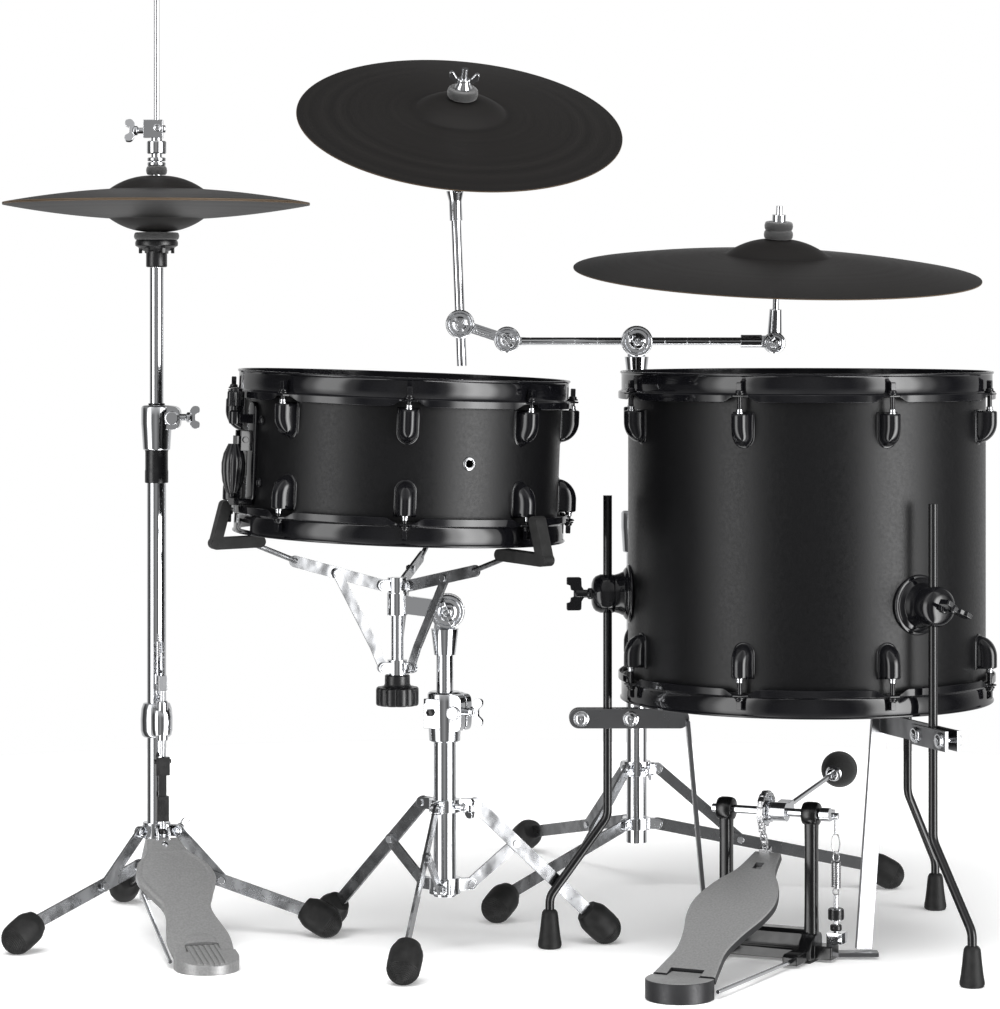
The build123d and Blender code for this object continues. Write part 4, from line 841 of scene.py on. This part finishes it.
def posts():
    """Rounded posts with barrel bearings, their feet and the base bars."""
    parts = []
    barrel = lathe([(0, -9.5), (9.5, -9.5), (12.0, -8.4), (13.2, -5.5), (13.4, 0), (13.2, 5.5), (12.0, 8.4),
        (9.5, 9.5), (0, 9.5)], 48)
    for side in (-1, 1):
        rings = []
        for z, wide, deep in ((14, 9.5, 8.2), (30, 8.8, 7.4), (60, 8.2, 6.9), (130, 8.0, 6.8),
                (150, 8.6, 7.0), (162, 9.0, 7.2)):
            rings.append([(wide * math.copysign(abs(math.cos(a)) ** 0.6, math.cos(a)),
                           side * HALF_POST + deep * math.copysign(abs(math.sin(a)) ** 0.6, math.sin(a)), z)
                          for a in [2 * math.pi * k / 32 for k in range(32)]])
        parts.append((loft(rings), Matrix()))
        parts.append((barrel, at(0, side * HALF_POST, AXLE_Z) @ turn(90, "X")))
        foot_side = [(-14, 3), (-14, 26), (-10, 30), (10, 30), (18, 24), (26, 14), (26, 3)]
        parts.append((prism(foot_side, side * HALF_POST - 8, side * HALF_POST + 8), Matrix()))
        parts.append((prism([(20, 3), (60, 3), (60, 13), (56, 15), (20, 15)], side * 47 - 9, side * 47 + 9),
            Matrix()))
    parts.append((prism([(-16, 8), (-16, 30), (-12, 34), (6, 34), (10, 30), (10, 8)], -HALF_POST, HALF_POST),
                  Matrix()))
    parts.append((prism([(-9, 3), (-9, 15), (22, 15), (22, 3)], -56, 56), Matrix()))
    parts.append((prism([(-12, 3), (-12, 18), (12, 18), (12, 3)], HALF_POST, HALF_POST + 28), Matrix()))
    return merged(*parts)


bevel(piece("kick_frame_cast", posts(), kick, "stands", "black_metal", replaces=["kick_frame"]), 1.6, 3, 45)
cork = merged(*[(lathe([(0, z), (r * 0.86, z), (r, z + 1.4), (r, z + h - 1.4), (r * 0.86, z + h),
    (0, z + h)], 20), Matrix()) for r, z, h in ((9.0, 43.5, 13), (6.6, 31.5, 7))])
bevel(piece("kick_spring_nuts", cork, spring_place, "stands", "black_plastic"), 0.3, 1)


# Joints, clamps and small hardware ---------------------------------------------------------------
def box(x0, x1, y0, y1, z0, z1):
    return prism([(x0, z0), (x1, z0), (x1, z1), (x0, z1)], y0, y1)


def hexagon(radius, low, high):
    """Six-sided bolt head along local Z with a socket in its top."""
    rings = []
    for r, z in ((radius, low), (radius, high - 0.6), (radius - 0.6, high), (radius * 0.55, high),
                 (radius * 0.55, high - 1.8)):
        rings.append([(r * math.cos(math.pi * k / 3), r * math.sin(math.pi * k / 3), z) for k in range(6)])
    return loft(rings)


def dome(radius, low, rise):
    """Domed bolt head on a thin washer, with a cross slot drawn as a shallow dish."""
    top = [(radius * math.cos(a), low + 1.2 + rise * math.sin(a))
        for a in [math.pi / 2 * k / 10 for k in range(10)]]
    return lathe([(0, low), (radius + 1.2, low), (radius + 1.2, low + 0.8), (radius, low + 1.2)] + top[1:]
                 + [(radius * 0.16, low + 1.2 + rise), (0, low + 0.6 + rise)], 40)


def disc_cap(radius, depth=3.4):
    """Outer face of a ratchet joint: bevelled rim, sunken ring and a raised boss."""
    return lathe([(0, 0), (radius + 0.3, 0), (radius + 0.3, 0.9), (radius - 1.0, 2.0), (radius * 0.80, 2.0),
        (radius * 0.76, 0.7), (radius * 0.54, 0.7), (radius * 0.50, depth - 0.8), (radius * 0.42, depth),
        (0, depth)], 64)


def toothed(radius, low, high, teeth=40):
    outline = []
    for k in range(2 * teeth):
        a = math.pi * k / teeth
        r = radius + (0.7 if k % 2 else -0.2)
        outline.append((r * math.cos(a), r * math.sin(a)))
    return prism(outline, low, high)


FRONT, BACK = turn(90, "X"), turn(-90, "X")
joints = [("crash_joint_inner", (-2.2, 220.6, 684.0), 16.0, "crash_link", -10.0, "boom", 12.0),
          ("crash_joint_outer", (-61.2, 220.6, 703.5), 17.5, "crash_link", -10.0, "crash_rod", 13.0),
          ("boom_joint", (CYMBAL_POLE[0], 220.6, 682.0), 19.0, "boom", -13.0, "cymbal_column", 13.0),
          ("ride_joint", RIDE_TILTER, 13.0, "ride_tilter", -10.0, "boom", 11.0),
          ("snare_joint", (-70.2, SNARE_POLE[1], 383.0), 19.0, "snare_basket", -11.0, "snare_column", 11.0)]
for name, place, radius, near, front, far, rear in joints:
    spot = at(*place)
    face = merged((disc_cap(radius), at(0, front, 0) @ FRONT),
        (toothed(radius, front + 5.5, front + 8.5), Matrix()))
    bevel(piece(name + "_front", face, spot, near, "chrome"), 0.3, 2)
    bolt = merged((disc_cap(radius), at(0, rear, 0) @ BACK), (hexagon(5.0, 0, 5.5),
        at(0, rear + 3.2, 0) @ BACK))
    bevel(piece(name + "_back", bolt, spot, far, "chrome"), 0.3, 2)
for name, place in (("crash_joint_inner", joints[0][1]), ("crash_joint_outer", joints[1][1])):
    bevel(piece(name + "_bolt", merged((hexagon(6.4, 3.2, 8.2), at(0, -10, 0) @ FRONT), (lathe(
        [(0, 3.2), (7.6, 3.2), (7.6, 4.4), (6.8, 4.9), (0, 4.9)], 32), at(0, -10, 0) @ FRONT)), at(*place),
                "crash_link", "chrome"), 0.3, 2)
rib = merged((prism([(-15, 4.5), (-43, 4.5), (-43, -4.5), (-15, -4.5)], -12.2, -9.0), Matrix()),
             (prism([(-18, 2.2), (-40, 2.2), (-40, -2.2), (-18, -2.2)], -13.4, -12.0), Matrix()))
link_slope = math.degrees(math.atan2(19.5, 59.0))
bevel(piece("crash_link_rib", rib, at(*joints[0][1]) @ turn(link_slope, "Y"), "crash_link", "chrome"), 0.8, 3)
wing_spots = [(at(-2.2, 209, 684) @ turn(-90) @ turn(35, "X"), (3.5, 9, 16), "crash_link"),
              (at(*CRASH_KNUCKLE) @ at(9.2) @ turn(20, "X"), (3.5, 6, 15), "crash_rod")]
for k, (spot, size, body) in enumerate(wing_spots):
    bevel(piece(f"crash_wing_{k + 1}", wing_screw(*size), spot, body, "chrome"), 0.8, 3)
big_wings = [("boom_wing", at(CYMBAL_POLE[0], 207.4, 682) @ turn(-90) @ turn(60, "X"), (4.0, 6, 24),
    "boom"), ("ride_wing", at(*RIDE_TILTER) @ at(0, -10.2, 0) @ turn(-90) @ turn(35, "X"), (4.0, 4, 19),
    "ride_tilter"), ("snare_wing", at(-70.2, SNARE_POLE[1] - 11.2, 383) @ turn(-90) @ turn(25, "X"),
    (4.2, 7, 26), "snare_basket")]
for name, spot, size, body in big_wings:
    bevel(piece(name, wing_screw(*size, 4.8), spot, body, "chrome"), 0.9, 3)


def clamp(tube, inner, low, high, ear_low, ear_high, hinge):
    """Cast clamp on a tube: flared barrel, split ears with rounded corners, hinge block and bolt."""
    wide = tube + 6.6
    barrel = lathe([(tube + 0.03, low), (tube + 3.4, low), (tube + 4.6, low + 1.2), (tube + 5.0, low + 8),
        (wide - 0.4, (low + high) / 2), (wide, (low + high) / 2 + 5), (wide, high - 3),
        (wide - 1.2, high - 0.9), (wide - 3, high), (inner + 0.03, high), (inner + 0.03, high - 20),
        (tube + 0.03, high - 21)], 72)
    side = curve([(8, ear_low + 3), (20, ear_low), (27, ear_low + 4), (28, (ear_low + ear_high) / 2),
                  (27, ear_high - 4), (20, ear_high), (8, ear_high - 2)], parts=5)
    parts = [(barrel, Matrix()), (prism(side, 1.2, 12.5), Matrix()), (prism(side, -12.5, -1.2), Matrix())]
    for s in (-1, 1):
        boss = lathe([(0, 0), (8.2, 0), (8.2, 2.2), (7.2, 3.2), (0, 3.2)], 36)
        parts.append((boss, at(19, s * 12.3, (ear_low + ear_high) / 2) @ (BACK if s > 0 else FRONT)))
    if hinge:
        parts.append((box(-15, 4, -wide - 1.8, -6, ear_low + 3, ear_high - 5), Matrix()))
    return merged(*parts)


clamps = [bevel(piece("hihat_clamp_cast", clamp(11.2, 8.2, 558, 610, 582, 609, False), radial(HIHAT, 90),
    "stands", "chrome", replaces=["height_clamps"]), 1.4, 3), bevel(piece("snare_clamp_cast",
    clamp(12.72, 9.6, 237, 293, 250, 291, True), radial(SNARE_POLE, 60), "stands", "chrome"), 1.6, 3),
    bevel(piece("cymbal_clamp_cast", clamp(12.72, 9.6, 418, 470, 440, 469, False), radial(CYMBAL_POLE, 90),
    "stands", "chrome"), 1.4, 3)]
socket_bolt = merged((hexagon(4.6, 0, 3.4), Matrix()))
piece("snare_clamp_bolt", socket_bolt, radial(SNARE_POLE, 60, 271) @ at(-6, -21.4, 0) @ FRONT, "stands",
      "black_metal")
casting_side = [(11.2, 225), (15.0, 225), (17.0, 227), (18.4, 233), (18.6, 246), (17.6, 258), (15.4, 264),
                (11.2, 265)]
nose = []
for z, grow in ((228, 0.84), (231, 0.95), (238, 1.0), (252, 1.0), (259, 0.93), (262, 0.80)):
    nose.append([((12 + 27 * (0.5 + 0.5 * math.cos(a))) * grow, 12.5 * grow * math.copysign(
        abs(math.sin(a)) ** 0.8, math.sin(a)), z) for a in [2 * math.pi * k / 40 for k in range(40)]])
bevel(piece("hihat_rod_guide", merged((lathe(casting_side, 64), Matrix()), (loft(nose), Matrix()),
    (lathe([(3.4, 224), (5.6, 224), (6.4, 225.5), (6.4, 268), (5.4, 270), (3.4, 270)], 32), at(31))),
    hihat_pedal, "stands", "chrome"), 0.6, 2, 40)
sleeve = [(11.1, 520), (13.2, 520), (13.6, 521), (13.6, 534), (13.2, 535), (13.2, 556), (13.6, 557),
    (13.6, 558), (8.2, 558), (8.2, 610), (9.6, 610.2), (9.6, 612), (8.0, 612.4), (8.0, 534), (11.1, 533)]
piece("hihat_sleeve", lathe(sleeve, 64), at(HIHAT[0], HIHAT[1]), "stands", "black_plastic")
inner_coil = coil(2.2, 0.6, 318, 345, 10, 14)
piece("hihat_return_spring", inner_coil, hihat_pedal @ at(11.3), "stands", "spring_steel")
guard = merged((box(9.5, 13.2, -7.2, 7.2, 268, 288), Matrix()),
    (lathe([(0, 0), (4.4, 0), (4.0, 1.8), (0, 2.2)], 24), at(13.2, 0, 278) @ turn(90, "Y")))
bevel(piece("hihat_slot_plate", guard, hihat_pedal, "stands", "chrome"), 0.7, 2)

clutch_parts = [(lathe([(3.25, 858), (6.2, 858), (6.2, 902.8), (3.25, 902.8)], 40), Matrix()),
    (lathe([(6.3, 858), (9.0, 858), (9.6, 858.8), (9.6, 865.4), (9.0, 866.4), (6.3, 866.4)], 40), Matrix()),
    (lathe([(6.1, 888.0), (9.8, 888.0), (10.7, 888.7), (10.7, 891.6), (9.8, 892.3), (6.1, 892.3)], 40),
    Matrix()), (lathe([(6.1, 893.4), (9.8, 893.4), (10.7, 894.1), (10.7, 897.0), (9.8, 897.7),
    (6.1, 897.7)], 40), Matrix()), (lathe([(3.3, 902.0), (10.2, 902.0), (11.3, 903.0), (11.3, 915.8),
    (10.2, 917.0), (3.3, 917.0)], 48), Matrix()), (lathe([(3.3, 916.5), (6.4, 916.5), (6.4, 922.0),
    (3.3, 922.0)], 32), Matrix()), (box(-15, 7.5, -7.0, 7.0, 920.5, 941.5), Matrix()),
    (hexagon(4.8, 0, 3.4), at(1.5, -7, 932) @ FRONT), (hexagon(4.4, 0, 3.0),
    at(7.4, 0, 931) @ turn(90, "Y")), (wing_screw(3.5, 13, 21, 4.6),
    at(-12, 0, 929) @ turn(180) @ turn(18, "X"))]
bevel(piece("hihat_clutch_cast", merged(*clutch_parts), hats, "hihat_clutch", "chrome",
    replaces=["hihat_clutch"]), 0.7, 3)
seat = [(4, 770.4), (11.2, 770.4), (12.2, 771.2), (12.2, 786.5), (13.4, 788.6), (17.6, 790.2), (20.4, 792.6),
        (22.4, 794), (24.6, 795.2), (24.9, 798.6), (24.0, 801.6), (22.6, 802), (4, 802)]
cups = [(lathe(seat, 72), Matrix())]
for k in range(6):
    cups.append((box(16.8, 20.6, -2.4, 2.4, 786.4, 795.0), turn(60 * k)))
bevel(piece("hihat_seat_moulded", merged(*cups), hats, "hihat_column", "black_plastic",
    replaces=["hihat_seat"]), 0.6, 2, 40)

knob_rings = []
for z, inset in ((278, 1.4), (279.2, 0.2), (281, 0), (295.5, 0), (297.2, 0.5), (298.2, 1.8)):
    ring = []
    for k in range(144):
        a = 2 * math.pi * k / 144
        lobe = abs(math.sin(6 * a)) ** 0.35
        ring.append(((22.0 + 2.3 * lobe - inset) * math.cos(a), (22.0 + 2.3 * lobe - inset) * math.sin(a), z))
    knob_rings.append(ring)
neck = lathe([(7.1, 297), (19.0, 297), (15.0, 300.2), (14.2, 302), (14.0, 311), (13.2, 312), (7.1, 312)], 64)
piece("basket_knob_moulded", merged((loft(knob_rings), Matrix()), (neck, Matrix())), at(*BASKET),
    "basket_knob", "black_plastic", replaces=["basket_knob"])

# Floor tom's leg brackets -------------------------------------------------------------------------
trumpet = lathe([(0, -1.0), (33.0, -1.0), (33.2, 0.6), (32.4, 2.4), (29.6, 3.2), (29.0, 4.6), (26.4, 6.4),
    (24.6, 7.2), (24.2, 8.8), (22.6, 12.0), (21.6, 16.0), (21.2, 18.0), (21.8, 19.0), (21.8, 33.0),
    (21.2, 34.4), (19.6, 38.4), (16.8, 41.0), (12.6, 42.6), (7.0, 43.2), (0, 43.4)], 96)
brackets, bracket_z = [], 400.0
for angle in (32, -86, 143):
    spot = radial(TOM, angle, bracket_z)
    brackets.append((trumpet, spot @ at(201.6) @ turn(90, "Y")))
    brackets.append((lathe([(0, 0), (6.4, 0), (6.4, 4.4), (5.2, 5.6), (0, 5.6)], 32),
        spot @ at(243.8) @ turn(90, "Y")))
    wing = [(9, 3.4), (11, 5.2), (13, 8.5), (13.4, 17.5), (15.5, 18.8), (29, 18.8), (30, 17.6), (30, 10.6),
        (26, 9.4), (25.2, 4.4), (22, 3.4)]
    blade = [(x, z) for x, z in wing] + [(x, -z) for x, z in reversed(wing)]
    brackets.append((prism(blade, -2.8, 2.8), spot @ at(243) @ turn(0 if angle < 0 else 62, "X")))
    brackets.append((lathe([(0, 0), (4.6, 0), (4.6, 20), (0, 22)], 24), spot @ at(243) @ turn(90, "Y")))
made = bevel(piece("tom_leg_brackets_cast", merged(*brackets), Matrix(), "tom", "black_chrome",
                   replaces=["tom_leg_brackets"]), 0.9, 3)

# Bass pedal bracket: bolts with domed heads -------------------------------------------------------
left_leg = radial(TOM, -86) @ Vector((226.5, 0, 0))
right_leg = radial(TOM, 32) @ Vector((226.5, 0, 0))
bracket_height, gap = 259.5, 9.4
right_bar = at(right_leg.x, right_leg.y, 0) @ turn(math.degrees(math.atan2(-0.936, 0.352)))
left_bar = at(left_leg.x, left_leg.y, 0)
heads = []
for bar, shifts in ((left_bar, (-30, 26)), (right_bar, (-22, 34))):
    for shift in shifts:
        heads.append((dome(7.6, 0, 3.6), bar @ at(shift, -gap, bracket_height) @ FRONT))
        heads.append((dome(7.6, 0, 3.6), bar @ at(shift, gap, bracket_height) @ BACK))
piece("kick_bracket_bolts", merged(*heads), Matrix(), "stands", "chrome", smooth=40)

# Snare strainer -----------------------------------------------------------------------------------
strainer = snare @ turn(STRAINER_ANGLE - 90)
wall = SNARE_SHELL
plate_rings = []
for depth, grow in ((-1.0, 0.0), (2.6, 0.0), (3.6, -0.8), (4.0, -2.0)):
    outline = [((13 + grow) * math.cos(a), 43 + (13 + grow) * math.sin(a)) for a in
               [math.pi * k / 20 for k in range(21)]]
    outline += [((13 + grow) * math.cos(a), -44 + (13 + grow) * math.sin(a)) for a in
                [math.pi + math.pi * k / 20 for k in range(21)]]
    plate_rings.append([(wall + depth, y, z) for y, z in outline])
knurl, column = [], at(wall + 22.5)
for z, r in ((50.0, 7.8), (51.2, 9.4), (65.6, 9.4), (66.8, 8.2)):
    knurl.append([((r - 0.6 * (k % 2)) * math.cos(math.pi * k / 24),
        (r - 0.6 * (k % 2)) * math.sin(math.pi * k / 24), z) for k in range(48)])
frame_parts = [(loft(plate_rings), Matrix()), (loft(knurl), column),
               (lathe([(0, 31), (6.4, 31), (7.0, 33), (7.0, 44), (5.0, 46), (5.0, 51), (0, 51)], 32), column),
               (lathe([(0, 66), (6.0, 66), (7.0, 67), (6.4, 69.5), (3.0, 70.6), (0, 70.8)], 32), column),
               (box(wall + 2, wall + 20, -8.6, 8.6, 32, 42), Matrix()),
               (box(wall + 3, wall + 18, 6.6, 9.4, 2, 24), Matrix()),
               (box(wall + 3, wall + 18, -9.4, -6.6, 2, 24), Matrix()),
               (box(wall + 2, wall + 24, -9, 9, -58, -50.5), Matrix())]
for k in (-1, 1):
    for z in (36, -32):
        frame_parts.append((dome(4.0, 0, 2.0), turn(k * 6.8) @ at(wall + 0.4, 0, z) @ turn(90, "Y")))
butt = [(box(wall - 1, wall + 6, -14, 14, -58, -22), turn(180)),
    (box(wall + 5, wall + 10.5, -11, 11, -54, -30), turn(180))]
for y in (-7, 7):
    butt.append((dome(3.0, 0, 1.4), turn(180) @ at(wall + 10.4, y, -42) @ turn(90, "Y")))
vent = lathe([(3.9, -0.8), (7.0, -0.8), (7.4, 0.4), (6.8, 1.6), (5.4, 2.1), (4.2, 1.5), (3.9, 0.4)], 48)
bevel(piece("snare_strainer_cast", merged(*frame_parts, *butt), strainer, "snare_basket", "black_chrome",
            replaces=["snare_strainer"]), 0.7, 2)
piece("snare_vent_ring", vent, snare @ turn(3.4 + 22.5 - 90) @ at(wall) @ turn(90, "Y"), "snare_basket",
    "chrome")
barrel = []
for z, r in ((-46, 4.0), (-45, 6.6), (-40, 9.0), (-32, 11.8), (-22, 13.2), (-12, 13.4), (-2, 11.6),
        (5, 8.4), (9, 6.5)):
    flute = [r - 1.1 * abs(math.sin(9 * math.pi * k / 144)) ** 8 for k in range(144)]
    barrel.append([(flute[k] * math.cos(math.pi * k / 72), flute[k] * math.sin(math.pi * k / 72), z)
                   for k in range(144)])
lever_parts = [(loft(barrel), column), (box(wall + 8, wall + 22, -5.6, 5.6, 4, 18), Matrix()),
               (lathe([(0, -11), (3.4, -11), (3.4, 11), (0, 11)], 24), at(wall + 13, 0, 14) @ turn(90, "X")),
               (lathe([(0, -50), (3.2, -50), (4.6, -48.6), (4.6, -45), (0, -44)], 24), column)]
bevel(piece("strainer_lever_cast", merged(*lever_parts), strainer, "strainer_lever", "black_chrome",
            replaces=["strainer_lever"]), 0.6, 2, 40)


LOW_LIGHT = [(-180, 0.8), (-130, 0.6), (-108, 0.05), (-76, 0.12), (-67, 1.4), (-57, 4.5), (-46, 4.5),
    (-37, 0.8), (-27, 0.14), (-14, 0.24), (0, 0.34), (12, 0.2), (22, 0.12), (31, 0.5), (41, 6.0),
    (51, 10.0), (62, 8.0), (73, 2.0), (85, 0.3), (98, 0.05), (130, 0.6), (180, 0.8)]
HIGH_LIGHT = [(-180, 0.1), (-76, 0.3), (-54, 1.6), (-36, 0.8), (0, 0.5), (36, 0.8), (54, 1.6), (76, 0.3),
    (180, 0.1)]


SUN_ENERGY, SUN_SPREAD = 2.9, 50
# Sine of the elevation between which the low ring of light gives way to the high one.
LIGHT_BLEND = (0.22, 0.5)


def studio():
    """White floor, a wide sun, the world light that reflections and indirect rays see, and the camera."""
    steps, radius = 96, 1.7
    rim = [(radius * math.cos(2 * math.pi * k / steps), radius * math.sin(2 * math.pi * k / steps), 0)
           for k in range(steps)]
    mesh = bpy.data.meshes.new("floor")
    mesh.from_pydata(rim, [], [list(range(steps))])
    floor = bpy.data.objects.new("floor", mesh)
    bpy.context.scene.collection.objects.link(floor)
    mesh.materials.append(Shader("floor_white", (0.94, 0.94, 0.94), 0.0, 0.9).vary_roughness(3, 0.85, 0.95)
                          .set(emission_color=(1, 1, 1, 1), emission_strength=0.18).material)
    floor.visible_glossy = False
    sun = bpy.data.lights.new("sun", "SUN")
    sun.energy, sun.angle = SUN_ENERGY, math.radians(SUN_SPREAD)
    lamp = bpy.data.objects.new("sun", sun)
    lamp.visible_glossy = False
    lamp.rotation_euler = Vector((0.12, 0.35, -1.0)).to_track_quat("-Z", "Y").to_euler()
    bpy.context.scene.collection.objects.link(lamp)

    world = bpy.data.worlds.new("studio")
    world.use_nodes = True
    tree = world.node_tree

    def node(kind, **values):
        made = tree.nodes.new(kind)
        for key, value in values.items():
            if hasattr(made, key):
                setattr(made, key, value)
            else:
                made.inputs[key.replace("_", " ").title()].default_value = value
        return made

    def ramp(source, stops):
        made = node("ShaderNodeValToRGB")
        made.color_ramp.interpolation = "EASE"
        elements = made.color_ramp.elements
        while len(elements) < len(stops):
            elements.new(0.5)
        for element, (angle, level) in zip(elements, stops):
            element.position = 0.5 + angle / 360
            element.color = (level, level, level, 1)
        tree.links.new(source, made.inputs["Fac"])
        return made.outputs["Color"]

    split = node("ShaderNodeSeparateXYZ")
    tree.links.new(node("ShaderNodeTexCoord").outputs["Generated"], split.inputs["Vector"])
    back = node("ShaderNodeMath", operation="MULTIPLY")
    back.inputs[1].default_value = -1.0
    tree.links.new(split.outputs["Y"], back.inputs[0])
    bearing = node("ShaderNodeMath", operation="ARCTAN2")
    tree.links.new(split.outputs["X"], bearing.inputs[0])
    tree.links.new(back.outputs["Value"], bearing.inputs[1])
    share = node("ShaderNodeMath", operation="MULTIPLY_ADD")
    share.inputs[1].default_value = 0.5 / math.pi
    share.inputs[2].default_value = 0.5
    tree.links.new(bearing.outputs["Value"], share.inputs[0])
    low = ramp(share.outputs["Value"], LOW_LIGHT)
    high = ramp(share.outputs["Value"], HIGH_LIGHT)
    height = node("ShaderNodeMapRange")
    for end, value in zip(("From Min", "From Max"), LIGHT_BLEND):
        height.inputs[end].default_value = value
    tree.links.new(split.outputs["Z"], height.inputs["Value"])
    mix = node("ShaderNodeMix", data_type="RGBA")
    tree.links.new(height.outputs["Result"], mix.inputs["Factor"])
    tree.links.new(low, mix.inputs["A"])
    tree.links.new(high, mix.inputs["B"])
    mirrored = node("ShaderNodeBackground", strength=1.0)
    tree.links.new(mix.outputs["Result"], mirrored.inputs["Color"])
    seen = tree.nodes["Background"]
    seen.inputs["Color"].default_value = (1, 1, 1, 1)
    chosen = node("ShaderNodeMixShader")
    tree.links.new(node("ShaderNodeLightPath").outputs["Is Camera Ray"], chosen.inputs["Fac"])
    tree.links.new(mirrored.outputs["Background"], chosen.inputs[1])
    tree.links.new(seen.outputs["Background"], chosen.inputs[2])
    tree.links.new(chosen.outputs["Shader"], tree.nodes["World Output"].inputs["Surface"])
    bpy.context.scene.world = world
    bpy.context.scene.view_settings.view_transform = "Standard"

    data = bpy.data.cameras.new("camera")
    data.lens, data.sensor_width, data.shift_y = 124.0, 36.0, -0.1888
    data.clip_end = 60
    camera = bpy.data.objects.new("camera", data)
    camera.location = (-0.01124, -4.12536, 0.716)
    camera.rotation_euler = (math.pi / 2, 0, 0)
    bpy.context.scene.collection.objects.link(camera)
    bpy.context.scene.camera = camera


studio()
